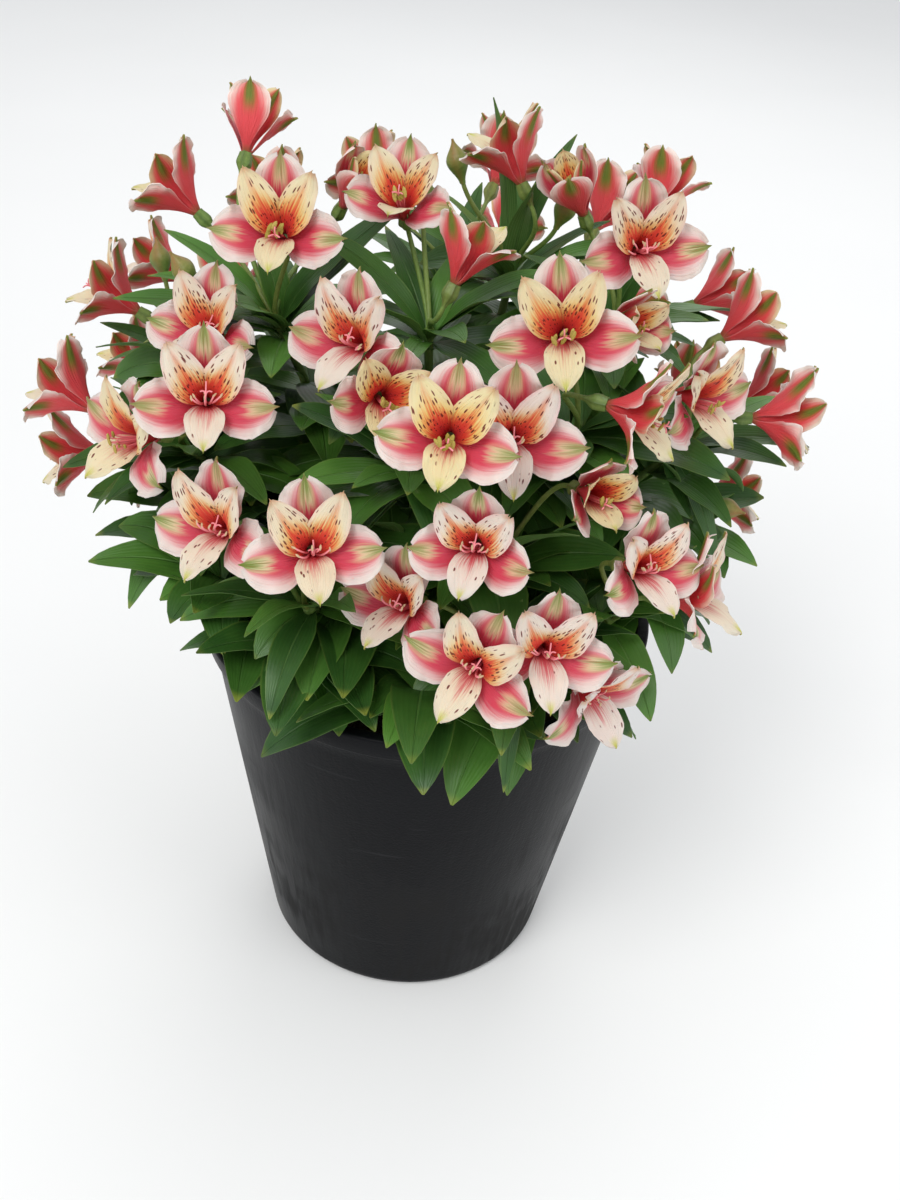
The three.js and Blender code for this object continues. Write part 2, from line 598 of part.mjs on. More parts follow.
// A bloom with its seed case and its ray, as one closed mesh. A three-sided ray widens
// into a six-sided seed case. The feet of the outer tepals share the case's top rim, each
// between two of its corners, and those of the inner ones a smaller rim within it.
function bloomSolid(bloom, ray) {
  const points = [];
  const triangles = [];
  let aside = bloom.right;
  const ring = (centre, along, radius, turns) => {
    aside = unit(minus(aside, times(along, dot(aside, along))));
    const over = cross(along, aside);
    return turns.map((turn) => {
      const out = plus(times(over, Math.cos(turn * RADIANS)), times(aside, Math.sin(turn * RADIANS)));
      return points.push(plus(centre, times(out, radius))) - 1;
    });
  };
  const ahead = (distance) => plus(bloom.foot, times(bloom.axis, distance));

  const rim = ring(ahead(0), bloom.axis, RIM_OF_CASE, OUTER_CORNERS);
  const ledge = ring(ahead(LEDGE[0]), bloom.axis, RIM_OF_CASE * LEDGE[1], OUTER_CORNERS);
  const inmost = ring(ahead(INNER_RIM[0]), bloom.axis, RIM_OF_CASE * INNER_RIM[1], INNER_CORNERS);
  const mouth = points.push(ahead(MOUTH_AHEAD)) - 1;
  const belly = ring(ahead(-OVARY_LENGTH / 2), bloom.axis, OVARY_RADIUS, BELLY_CORNERS);
  let below = ring(ahead(-OVARY_LENGTH), bloom.axis, RAY_RADIUS, RAY_CORNERS);
  for (let k = 0; k < 3; k++) {
    const next = (k + 1) % 3;
    const [a, b, c] = [belly[2 * k], belly[2 * k + 1], belly[2 * next]];
    triangles.push([rim[k], b, a], [rim[k], rim[next], b], [rim[next], c, b]);
    triangles.push([a, b, below[k]], [b, c, below[k]], [c, below[next], below[k]]);
    triangles.push([ledge[next], ledge[k], inmost[k]], [ledge[next], inmost[k], inmost[next]]);
  }
  for (const s of [RAY_BEND, 0]) {
    const along = cubicDirection(ray, Math.max(s, RING_NEAR));
    const lower = ring(cubic(ray, s), along, RAY_RADIUS, RAY_CORNERS);
    for (let k = 0; k < 3; k++) {
      const next = (k + 1) % 3;
      triangles.push([below[k], below[next], lower[k]], [below[next], lower[next], lower[k]]);
    }
    below = lower;
  }
  triangles.push(below);

  TEPALS.forEach((tepal, i) => {
    const pointAt = (s, t) => tepalPoint(bloom, tepal, s, t);
    const outer = tepal.whorl === "outer";
    const rows = outer ? OUTER_ROWS : INNER_ROWS;
    const k = Math.floor(i / 2);
    const next = (k + 1) % 3;
    const row = bladeRow(points, pointAt, rows[0], TEPAL_THICKNESS);
    const [left, right, upper, under] = row;
    const [a, b] = outer ? [rim[k], rim[next]] : [inmost[k], inmost[next]];
    const [c, d] = outer ? [ledge[k], ledge[next]] : [mouth, mouth];
    triangles.push([left, under, a], [under, right, b], [under, b, a]);
    triangles.push([upper, left, c], [right, upper, d], [left, a, c], [right, d, b]);
    if (outer) triangles.push([d, upper, c]);
    closeBlade(points, triangles, row, rows, pointAt, TEPAL_THICKNESS);
  });
  return solidOf(points, triangles);
}

// A green bud on its ray: a spindle, fattest near the tip.
function budSolid(ray) {
  const along = cubicDirection(ray, 1);
  const from = minus(ray[3], times(along, 1));
  const radii = [RAY_RADIUS, BUD_RADIUS, BUD_RADIUS * 0.9, BUD_TIP_RADIUS];
  return wasm.Manifold.union([
    barSolid(ray, [RAY_RADIUS, RAY_RADIUS, RAY_RADIUS], 3),
    barSolid(straight(from, plus(ray[3], times(along, BUD_LENGTH))), radii, 5),
  ]);
}

// An umbel: the crown that its rays spring from, with its blooms and buds.
function umbelSolid(stem) {
  const crownFoot = plus(stem.curve[3], times(stem.end, NODE_GAP));
  const crownTop = plus(crownFoot, times(stem.end, CROWN_LENGTH));
  const radii = [STEM_TIP_RADIUS, CROWN_RADIUS, CROWN_RADIUS / 2];
  const crown = barSolid(straight(crownFoot, crownTop), radii, STEM_SIDES);
  const blooms = stem.blooms.map((bloom, i) => bloomSolid(bloom, stem.rays[i]));
  return largest(wasm.Manifold.union([crown, ...blooms, ...stem.budRays.map(budSolid)]));
}

// A bare stem, standing in the soil.
function stemSolid(stem) {
  const radii = [];
  for (let i = 0; i <= STEM_STEPS; i++) radii.push(mix(STEM_RADIUS, STEM_TIP_RADIUS, i / STEM_STEPS));
  return barSolid(stem.curve, radii, STEM_SIDES, minus(stem.curve[0], [0, 0, STEM_DEPTH]));
}

// The pot: one turned wall with a rounded foot and a lip, and drain holes in its floor.
function potSolid() {
  const lipBottom = POT_HEIGHT - LIP_HEIGHT;
  const profile = [[0, 0], [BASE_RADIUS - FOOT_ROUNDING, 0]];
  profile.push([BASE_RADIUS - FOOT_ROUNDING * 0.2, FOOT_ROUNDING * 0.3]);
  profile.push([potRadius(FOOT_ROUNDING), FOOT_ROUNDING]);
  profile.push([potRadius(lipBottom), lipBottom], [potRadius(lipBottom) + LIP_OUT, lipBottom]);
  profile.push([RIM_RADIUS + LIP_OUT, POT_HEIGHT - LIP_EDGE]);
  profile.push([RIM_RADIUS + LIP_OUT - LIP_EDGE, POT_HEIGHT], [RIM_RADIUS - WALL, POT_HEIGHT]);
  profile.push([potRadius(FLOOR) - WALL, FLOOR], [0, FLOOR]);
  const turned = new THREE.LatheGeometry(profile.map(([r, z]) => new THREE.Vector2(r, z)), POT_SIDES);
  turned.rotateX(Math.PI / 2);
  let pot = solid(turned);
  if (pot.volume() < 0) throw new Error("the pot's profile runs the wrong way round");
  for (let i = 0; i < DRAIN_HOLES; i++) {
    const drill = new THREE.CylinderGeometry(DRAIN_RADIUS, DRAIN_RADIUS, FLOOR * 4, DRAIN_SIDES);
    drill.rotateX(Math.PI / 2);
    const spot = times(heading((i * 360) / DRAIN_HOLES + DRAIN_TURN, 0), DRAIN_RING);
    drill.translate(spot[0], spot[1], FLOOR / 2);
    pot = pot.subtract(solid(drill));
  }
  return pot;
}

// The soil fills the pot up to below its rim, with a plain hole for each stem.
function soilSolid() {
  const inner = (z) => potRadius(z) - WALL - SOIL_GAP;
  const floor = FLOOR + SOIL_GAP;
  const rows = [[0, floor], [inner(floor), floor], [inner(SOIL_TOP), SOIL_TOP], [0, SOIL_TOP]];
  const turned = new THREE.LatheGeometry(rows.map(([r, z]) => new THREE.Vector2(r, z)), POT_SIDES);
  turned.rotateX(Math.PI / 2);
  let soil = solid(turned);
  for (const stem of STEMS) {
    const drill = new THREE.CylinderGeometry(HOLE_RADIUS, HOLE_RADIUS, STEM_DEPTH * 2, HOLE_SIDES);
    drill.rotateX(Math.PI / 2);
    drill.translate(stem.curve[0][0], stem.curve[0][1], SOIL_TOP);
    soil = soil.subtract(solid(drill));
  }
  return soil;
}

// A body as a three.js geometry.
function geometryOf(body) {
  const made = body.getMesh();
  const geometry = new THREE.BufferGeometry();
  geometry.setAttribute("position", new THREE.BufferAttribute(new Float32Array(made.vertProperties), 3));
  geometry.setIndex(new THREE.BufferAttribute(new Uint32Array(made.triVerts), 1));
  return geometry;
}

// Whether a body stays closed, with no face lost, once its closest vertices are merged.
function isSound(body) {
  const merged = mergeVertices(geometryOf(body), MERGE_DISTANCE);
  if (merged.getAttribute("position").count !== body.numVert()) return false;
  return body.decompose().length === 1;
}

// Everything is built, and a leaf that still meets another piece is left out.
const potBody = potSolid();
const soilBody = soilSolid();
const umbelBodies = STEMS.filter((stem) => stem.flowering).map(umbelSolid);
const stemBodies = STEMS.map(stemSolid);
const MEETING_VOLUME = 1e-3;
const meets = (a, b) => a.intersect(b).volume() > MEETING_VOLUME;

const places = fixedPlaces();
const LEAVES = STEMS.map((stem, owner) => leavesOf(stem, owner, places));
STEMS.forEach((stem, owner) => {
  const otherStems = stemBodies.filter((body, i) => i !== owner);
  const others = [potBody, soilBody, ...umbelBodies, ...otherStems];
  for (const leaf of LEAVES[owner]) {
    const blade = leafSolid(leaf);
    if (others.some((body) => meets(blade, body))) continue;
    const joined = largest(stemBodies[owner].add(blade));
    if (isSound(joined)) stemBodies[owner] = joined;
  }
});

// Colours, roughness and the finished group
const FINISHES = {
  pot: { color: 0x25272a, roughness: 0.45, metalness: 0 },
  soil: { color: 0x3b2a1e, roughness: 1, metalness: 0 },
  leaf: { color: 0x2f5a26, roughness: 0.5, metalness: 0 },
  petal: { color: 0xe08a92, roughness: 0.6, metalness: 0 },
};
const group = new THREE.Group();
function addNode(name, body, finish) {
  const mesh = new THREE.Mesh(geometryOf(body), new THREE.MeshStandardMaterial(FINISHES[finish]));
  mesh.name = name;
  group.add(mesh);
}
addNode("pot", potBody, "pot");
addNode("soil", soilBody, "soil");
STEMS.forEach((stem, i) => addNode("leafy_stem_" + stem.name, stemBodies[i], "leaf"));
umbelBodies.forEach((body, i) => addNode("umbel_" + STEMS[i].name, body, "petal"));

export default group;
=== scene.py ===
import math
import bpy
import numpy as np
from mathutils import Matrix, Vector


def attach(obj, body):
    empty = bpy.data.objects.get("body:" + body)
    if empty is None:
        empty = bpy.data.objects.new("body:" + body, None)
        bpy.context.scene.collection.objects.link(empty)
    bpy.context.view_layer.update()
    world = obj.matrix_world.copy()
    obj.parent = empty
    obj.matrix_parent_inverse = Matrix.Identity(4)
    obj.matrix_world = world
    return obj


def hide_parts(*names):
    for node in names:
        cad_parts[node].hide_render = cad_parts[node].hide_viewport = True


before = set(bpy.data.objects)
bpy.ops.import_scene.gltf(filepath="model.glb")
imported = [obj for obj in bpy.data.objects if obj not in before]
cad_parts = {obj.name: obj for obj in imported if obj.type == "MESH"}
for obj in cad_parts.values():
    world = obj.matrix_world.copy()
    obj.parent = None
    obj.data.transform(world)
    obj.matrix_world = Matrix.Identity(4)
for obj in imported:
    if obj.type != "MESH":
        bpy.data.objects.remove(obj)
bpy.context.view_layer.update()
bpy.context.scene.view_settings.view_transform = "Standard"

# The pot is a plain nursery pot, moulded in one piece from black plastic. Its wall
# tapers, with a rounded foot, a lip round its rim and six drain holes in its floor.
# Sizes are millimetres here and below, and turns are degrees from the front (-Y) to +X.
MM = 0.001
POT_HEIGHT = 190
RIM_RADIUS = 100
BASE_RADIUS = 70
WALL = 2.2
FLOOR = 3
LIP_HEIGHT = 11
LIP_OUT = 3
LIP_ROUNDING = 1.4
FOOT_ROUNDING = 5
DRAIN_HOLES = 6
DRAIN_RADIUS = 5
DRAIN_RING = 42
DRAIN_TURN = 15
DRILL_SIDES = 24
POT_SIDES = 128
MIDDLE_RADIUS = 20
SHARP_ANGLE = 48


def tint(red, green, blue):
    """A screen colour of 0 to 255 a channel as the shader's own linear one: each share to
    the power 2.4, as the screen standard has it."""
    shares = [((c / 255 + 0.055) / 1.055) ** 2.4 for c in (red, green, blue)]
    return (*shares, 1)


class Value:
    """A socket of a material that can be reckoned with: arithmetic adds Math nodes."""

    def __init__(self, finish, socket):
        self.finish = finish
        self.socket = socket

    def math(self, operation, *others, first=None):
        inputs = [self if first is None else first, *others]
        return self.finish.node("ShaderNodeMath", {"operation": operation}, inputs)

    def __add__(self, other):
        return self.math("ADD", other)

    def __sub__(self, other):
        return self.math("SUBTRACT", other)

    def __rsub__(self, other):
        return self.math("SUBTRACT", self, first=other)

    def __mul__(self, other):
        return self.math("MULTIPLY", other)

    def __abs__(self):
        return self.math("ABSOLUTE")

    __radd__ = __add__
    __rmul__ = __mul__

    def rises(self, low, high, start=0.0, end=1.0):
        """The start below low, the end above high, and a smooth step between them."""
        settings = {"interpolation_type": "SMOOTHSTEP"}
        return self.finish.node("ShaderNodeMapRange", settings, [self, low, high, start, end])

    def falls(self, low, high):
        return self.rises(low, high, 1.0, 0.0)


class Finish:
    """A material being mixed. What is the same all over is set on the shader's sockets."""

    def __init__(self, name, **fixed):
        self.material = bpy.data.materials.new(name)
        self.material.use_nodes = True
        self.tree = self.material.node_tree
        self.shader = self.tree.nodes["Principled BSDF"]
        for socket, value in fixed.items():
            self.shader.inputs[socket.replace("_", " ")].default_value = value

    def node(self, kind, settings, inputs, output=0):
        """One node of a type: its settings first, then its sockets' values or links."""
        made = self.tree.nodes.new(kind)
        for name, value in settings.items():
            setattr(made, name, value)
        pairs = inputs.items() if isinstance(inputs, dict) else enumerate(inputs)
        for key, value in pairs:
            if isinstance(value, Value):
                self.tree.links.new(value.socket, made.inputs[key])
            else:
                made.inputs[key].default_value = value
        return Value(self, made.outputs[output])

    def place(self):
        """Where a point lies on the object, in metres."""
        return self.node("ShaderNodeTexCoord", {}, [], "Object")

    def on_surface(self):
        """Where a point lies on its own blade: across it, then along it, both 0 to 1."""
        uv = self.node("ShaderNodeUVMap", {"uv_map": "UVMap"}, [])
        return self.parts(uv)[:2]

    def marks(self):
        """The three marks that each point of a piece carries."""
        settings = {"attribute_name": "marks"}
        return self.parts(self.node("ShaderNodeAttribute", settings, [], "Vector"))

    def parts(self, vector):
        apart = self.node("ShaderNodeSeparateXYZ", {}, [vector]).socket.node
        return [Value(self, apart.outputs[i]) for i in range(3)]

    def vector(self, x, y, z):
        return self.node("ShaderNodeCombineXYZ", {}, [x, y, z])

    def noise(self, place, scale, detail=3.0):
        inputs = {"Vector": place, "Scale": scale, "Detail": detail}
        return self.node("ShaderNodeTexNoise", {}, inputs)

    def cells(self, place, output="Distance", kept=0.8):
        inputs = {"Vector": place, "Scale": 1.0, "Randomness": kept}
        return self.node("ShaderNodeTexVoronoi", {}, inputs, output)

    def mix(self, share, first, second):
        """One colour over another, by a share from 0 to 1."""
        settings = {"data_type": "RGBA", "clamp_factor": True}
        return self.node("ShaderNodeMix", settings, {0: share, 6: first, 7: second}, 2)

    def coats(self, shade, *layers):
        """A colour with others laid over it in turn, each as its share and its colour."""
        for share, colour in layers:
            shade = self.mix(share, shade, colour)
        return shade

    def paint(self, colour, roughness=None, height=None, depth=0.0005):
        """Links the colour, and where given the roughness and a bump of some depth."""
        self.tree.links.new(colour.socket, self.shader.inputs["Base Color"])
        if roughness is not None:
            self.tree.links.new(roughness.socket, self.shader.inputs["Roughness"])
        if height is not None:
            bump = self.node("ShaderNodeBump", {}, {"Height": height, "Distance": depth})
            self.tree.links.new(bump.socket, self.shader.inputs["Normal"])
        return self.material


class Piece:
    """One object in the making: surfaces in millimetres, gathered as whole arrays."""

    def __init__(self):
        self.points, self.uvs, self.marks = [], [], []
        self.quads, self.threes = [], []
        self.quad_kinds, self.three_kinds = [], []
        self.count = 0

    def add(self, points, quads, threes, kind=0, uv=None, marks=(0, 0, 0)):
        """Takes a surface with its quads and triangles, its finish and its points' marks."""
        amount = len(points)
        self.points.append(points)
        self.uvs.append(np.zeros((amount, 2)) if uv is None else uv)
        self.marks.append(np.broadcast_to(marks, (amount, 3)))
        self.quads.append(quads + self.count)
        self.threes.append(threes + self.count)
        self.quad_kinds.append(np.full(len(quads), kind))
        self.three_kinds.append(np.full(len(threes), kind))
        self.count += amount

    def write(self, name, slot, finishes, nodes=()):
        """Makes the object, which rides on the plant's one body."""
        points = np.concatenate(self.points) * MM
        quads = np.concatenate(self.quads)
        threes = np.concatenate(self.threes)
        corners = np.concatenate([quads.ravel(), threes.ravel()])
        of_quads, of_threes = np.arange(len(quads)) * 4, np.arange(len(threes)) * 3
        starts = np.concatenate([of_quads, quads.size + of_threes])
        kinds = np.concatenate(self.quad_kinds + self.three_kinds)
        mesh = bpy.data.meshes.new(name)
        mesh.vertices.add(len(points))
        mesh.vertices.foreach_set("co", points.ravel())
        mesh.loops.add(len(corners))
        mesh.loops.foreach_set("vertex_index", corners)
        mesh.polygons.add(len(starts))
        mesh.polygons.foreach_set("loop_start", starts)
        mesh.polygons.foreach_set("material_index", kinds)
        mesh.polygons.foreach_set("use_smooth", np.ones(len(starts), dtype=bool))
        mesh.update(calc_edges=True)
        uv_map = mesh.uv_layers.new(name="UVMap")
        uv_map.data.foreach_set("uv", np.concatenate(self.uvs)[corners].ravel())
        marks = mesh.attributes.new("marks", "FLOAT_VECTOR", "POINT")
        marks.data.foreach_set("vector", np.concatenate(self.marks).ravel())
        mesh.set_sharp_from_angle(angle=math.radians(SHARP_ANGLE))
        for finish in finishes:
            mesh.materials.append(finish)
        made = bpy.data.objects.new(name, mesh)
        bpy.context.scene.collection.objects.link(made)
        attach(made, "root")
        if nodes:
            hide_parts(*nodes)
        return made


NO_FACES = np.zeros((0, 3), dtype=int)


def sleeve(rings):
    """A closed round surface through rings of points, [ring, corner, xyz]: neighbours in
    each two rings make the quads, and each end is a fan round its own middle."""
    count, sides = rings.shape[:2]
    ring, corner = np.meshgrid(np.arange(count - 1), np.arange(sides), indexing="ij")
    following = (corner + 1) % sides
    a = ring * sides + corner
    b = ring * sides + following
    quads = np.stack([a, b, b + sides, a + sides], -1).reshape(-1, 4)
    points = np.concatenate([rings.reshape(-1, 3), rings[[0, -1]].mean(axis=1)])
    around = np.arange(sides)
    after = (around + 1) % sides
    last = (count - 1) * sides
    first_end = np.stack([np.full(sides, last + sides), after, around], -1)
    last_end = np.stack([np.full(sides, last + sides + 1), last + around, last + after], -1)
    return points, quads, np.concatenate([first_end, last_end])


def turned(profile, sides):
    """Rings round the Z axis through the profile's points, each a radius and a height."""
    angle = np.arange(sides) * 2 * np.pi / sides
    radius, height = np.array(profile, dtype=float).T[:, :, None]
    return np.stack([radius * np.cos(angle), radius * np.sin(angle), height + 0 * angle], -1)


def pot_radius(height):
    """The wall's outer radius grows evenly from the base to the rim."""
    return BASE_RADIUS + (RIM_RADIUS - BASE_RADIUS) * height / POT_HEIGHT


def quarter(middle, radius, start, steps=5):
    """Points of a quarter circle round a middle, from a start angle in degrees."""
    angles = np.radians(np.linspace(start, start + 90, steps))
    return [(middle[0] + radius * math.cos(a), middle[1] + radius * math.sin(a)) for a in angles]


lip_bottom = POT_HEIGHT - LIP_HEIGHT
lip_radius = RIM_RADIUS + LIP_OUT
profile = [(MIDDLE_RADIUS, 0), (45, 0)]
profile += quarter((BASE_RADIUS - FOOT_ROUNDING + 0.8, FOOT_ROUNDING), FOOT_ROUNDING, -90)
profile += [(pot_radius(z), z) for z in np.linspace(FOOT_ROUNDING + 2, lip_bottom - 1, 24)]
profile += [(pot_radius(lip_bottom) + 0.3, lip_bottom - 0.2)]
profile += quarter((pot_radius(lip_bottom) + LIP_OUT - 0.7, lip_bottom + 0.7), 0.7, -90, 4)
profile += quarter((lip_radius - LIP_ROUNDING, POT_HEIGHT - LIP_ROUNDING), LIP_ROUNDING, 0)
profile += quarter((RIM_RADIUS - WALL + 0.6, POT_HEIGHT - 0.6), 0.6, 90, 4)
profile += [(pot_radius(z) - WALL, z) for z in np.linspace(POT_HEIGHT - 4, FLOOR, 12)]
profile += [(MIDDLE_RADIUS, FLOOR)]
pot_piece = Piece()
pot_piece.add(*sleeve(turned(profile, POT_SIDES)))

plastic = Finish("black_plastic", Specular_IOR_Level=0.07)
at = plastic.place()
x, y, z = plastic.parts(at)
mottle = plastic.noise(at, 22.0, 4.0)
fine = plastic.noise(at, 900.0, 2.0)
drawn = plastic.noise(plastic.vector(x * 260.0, y * 260.0, z * 9.0), 1.0, 4.0)
dust = (mottle + drawn * 0.6).rises(0.72, 1.05) * z.falls(0.02, 0.16)
scuffs = plastic.noise(plastic.vector(x * 30.0, y * 30.0, z * 420.0), 1.0, 3.0).rises(0.66, 0.76)
shade = plastic.coats(tint(11, 12, 14), (mottle, tint(19, 20, 23)),
                      (dust * 0.16, tint(74, 72, 68)), (scuffs * 0.12, tint(82, 83, 85)))
gloss = 0.28 + mottle * 0.16 + dust * 0.3 + scuffs * 0.12
black_plastic = plastic.paint(shade, gloss, fine * 0.5 + drawn * 0.8, 0.0002)
pot = pot_piece.write("pot_shell", "pot", [black_plastic], ["pot"])

drills = Piece()
for hole in range(DRAIN_HOLES):
    turn = math.radians(hole * 360 / DRAIN_HOLES + DRAIN_TURN)
    drill = turned([(DRAIN_RADIUS, -FLOOR), (DRAIN_RADIUS, FLOOR * 2)], DRILL_SIDES)
    drill += np.array([math.sin(turn), -math.cos(turn), 0]) * DRAIN_RING
    drills.add(*sleeve(drill))
drill_object = drills.write("drain_drills", "pot", [black_plastic])
cut = pot.modifiers.new("drain_holes", "BOOLEAN")
cut.operation = "DIFFERENCE"
cut.solver = "EXACT"
cut.object = drill_object
bored = bpy.data.meshes.new_from_object(pot.evaluated_get(bpy.context.evaluated_depsgraph_get()))
pot.modifiers.clear()
pot.data = bored
bpy.data.objects.remove(drill_object)

# Potting soil fills the pot up to below its rim: a dark peat, pressed a little uneven,
# with loose crumbs of bark and peat lying on it. The stems stand in it.
SOIL_TOP = 172
SOIL_GAP = 0.4
SOIL_SIDES = 96
SOIL_RINGS = 34
SOIL_BUMPS = 28
CRUMBS = 900
CRUMB_SIZES = (0.9, 3.2)
SOIL_SEED = 11
SOIL_SINK = 0.8

soil_draw = np.random.default_rng(SOIL_SEED)
bearing = soil_draw.uniform(0, 2 * np.pi, SOIL_BUMPS)
pace = soil_draw.uniform(0.04, 0.5, SOIL_BUMPS)
wave_starts = soil_draw.uniform(0, 6.3, SOIL_BUMPS)
wave_heights = 0.06 / (pace + 0.08)


def soil_height(x, y):
    """The soil's top: a level with low waves of many directions and lengths added."""
    over = x[..., None] * (np.cos(bearing) * pace) + y[..., None] * (np.sin(bearing) * pace)
    return SOIL_TOP - SOIL_SINK + (np.sin(over + wave_starts) * wave_heights).sum(axis=-1)


inner_top = pot_radius(SOIL_TOP) - WALL - SOIL_GAP
inner_floor = pot_radius(FLOOR) - WALL - SOIL_GAP
side = [(MIDDLE_RADIUS, FLOOR + SOIL_GAP), (inner_floor, FLOOR + SOIL_GAP),
        (inner_top - 0.6, SOIL_TOP - 5)]
side += [(r, SOIL_TOP) for r in np.linspace(inner_top - 0.4, 0.8, SOIL_RINGS)]
rings = turned(side, SOIL_SIDES)
rings[3:, :, 2] = soil_height(rings[3:, :, 0], rings[3:, :, 1])
soil_piece = Piece()
soil_piece.add(*sleeve(rings))

earth = Finish("potting_soil", Specular_IOR_Level=0.2)
at = earth.place()
grain = earth.noise(at, 420.0, 6.0)
clump = earth.noise(at, 70.0, 3.0)
shade = earth.coats(tint(38, 27, 20), (clump, tint(66, 48, 35)),
                    (grain.rises(0.5, 0.75) * 0.5, tint(96, 74, 54)))
potting_soil = earth.paint(shade, 0.85 + grain * 0.15, grain + clump, 0.0012)
soil_piece.write("soil_fill", "soil", [potting_soil], ["soil"])

golden = (1 + math.sqrt(5)) / 2
corners = [(0, 1, golden), (0, -1, golden), (0, 1, -golden), (0, -1, -golden)]
corners += [(b, c, a) for a, b, c in corners] + [(c, a, b) for a, b, c in corners]
corners = np.array(corners)
corners = corners / np.linalg.norm(corners[0])
near = np.linalg.norm(corners[:, None] - corners[None], axis=-1) < 1.2
crumb_faces = [(i, j, k) for i in range(12) for j in range(i) for k in range(j)
               if near[i, j] and near[j, k] and near[i, k]]
crumb_faces = np.array([face if np.linalg.det(corners[list(face)]) > 0 else face[::-1]
                        for face in crumb_faces])
far_out = np.sqrt(soil_draw.uniform(0, 1, CRUMBS)) * (inner_top - 3)
spin = soil_draw.uniform(0, 2 * np.pi, CRUMBS)
sizes = soil_draw.uniform(*CRUMB_SIZES, (CRUMBS, 1, 1))
sizes = sizes * soil_draw.uniform(0.5, 1.2, (CRUMBS, 1, 3))
middles = np.stack([far_out * np.cos(spin), far_out * np.sin(spin), 0 * spin], -1)
middles[:, 2] = soil_height(middles[:, 0], middles[:, 1]) + 0.4
lumps = corners * sizes * soil_draw.uniform(0.75, 1.15, (CRUMBS, 12, 1)) + middles[:, None]
crumb_piece = Piece()
faces = (crumb_faces[None] + np.arange(CRUMBS)[:, None, None] * 12).reshape(-1, 3)
crumb_marks = np.repeat(soil_draw.uniform(0, 1, (CRUMBS, 3)), 12, axis=0)
crumb_piece.add(lumps.reshape(-1, 3), np.zeros((0, 4), dtype=int), faces, marks=crumb_marks)

bark = Finish("bark_crumbs", Specular_IOR_Level=0.2)
tone = bark.marks()[0]
at = bark.place()
shade = bark.coats(tint(33, 23, 17), (tone, tint(104, 76, 51)),
                   (bark.noise(at, 900.0, 3.0) * 0.6, tint(48, 36, 28)))
bark_crumbs = bark.paint(shade, 0.8 + tone * 0.15, bark.noise(at, 1500.0, 3.0), 0.0006)
crumb_piece.write("soil_crumbs", "soil", [bark_crumbs])

# Leafy stems stand in the soil: flowering ones, which an umbel of blooms tops, and
# leafy shoots. Each is a round green stem with its leaves grown on it, in a spiral and,
# under an umbel, in a whorl. The leaves are thin and glossy, with veins from end to end.
STEM_DEPTH = 14
STEM_RADIUS = 2.3
STEM_TIP_RADIUS = 1.7
STEM_SIDES = 10
STEM_STEPS = 22
CHORDS = 4
STEM_LOWER = (0, 0.42)
STEM_UPPER = (0.62, 0.8)
ROOT_SHARE = 0.45
NODE_GAP = 0.35
CROWN_LENGTH = 5
RAY_EASE = 0.35
OVARY_LENGTH = 8
LEAF_LENGTH = 62
LEAF_WIDTH = 22.5
LEAF_FOLD = 0.22
LEAF_THICKNESS = 0.55
LEAF_GRID = (15, 7)
FILLING_GRID = (11, 5)
GOLDEN_TURN = 137.5
BLOOM_SIZE = 0.82
THROAT_DEPTH = 10
BUD_LENGTH = 17
BUD_RADIUS = 4.5
CANOPY_MIDDLE = np.array([0, 6, 272])
CANOPY_RADII = np.array([146, 138, 112])

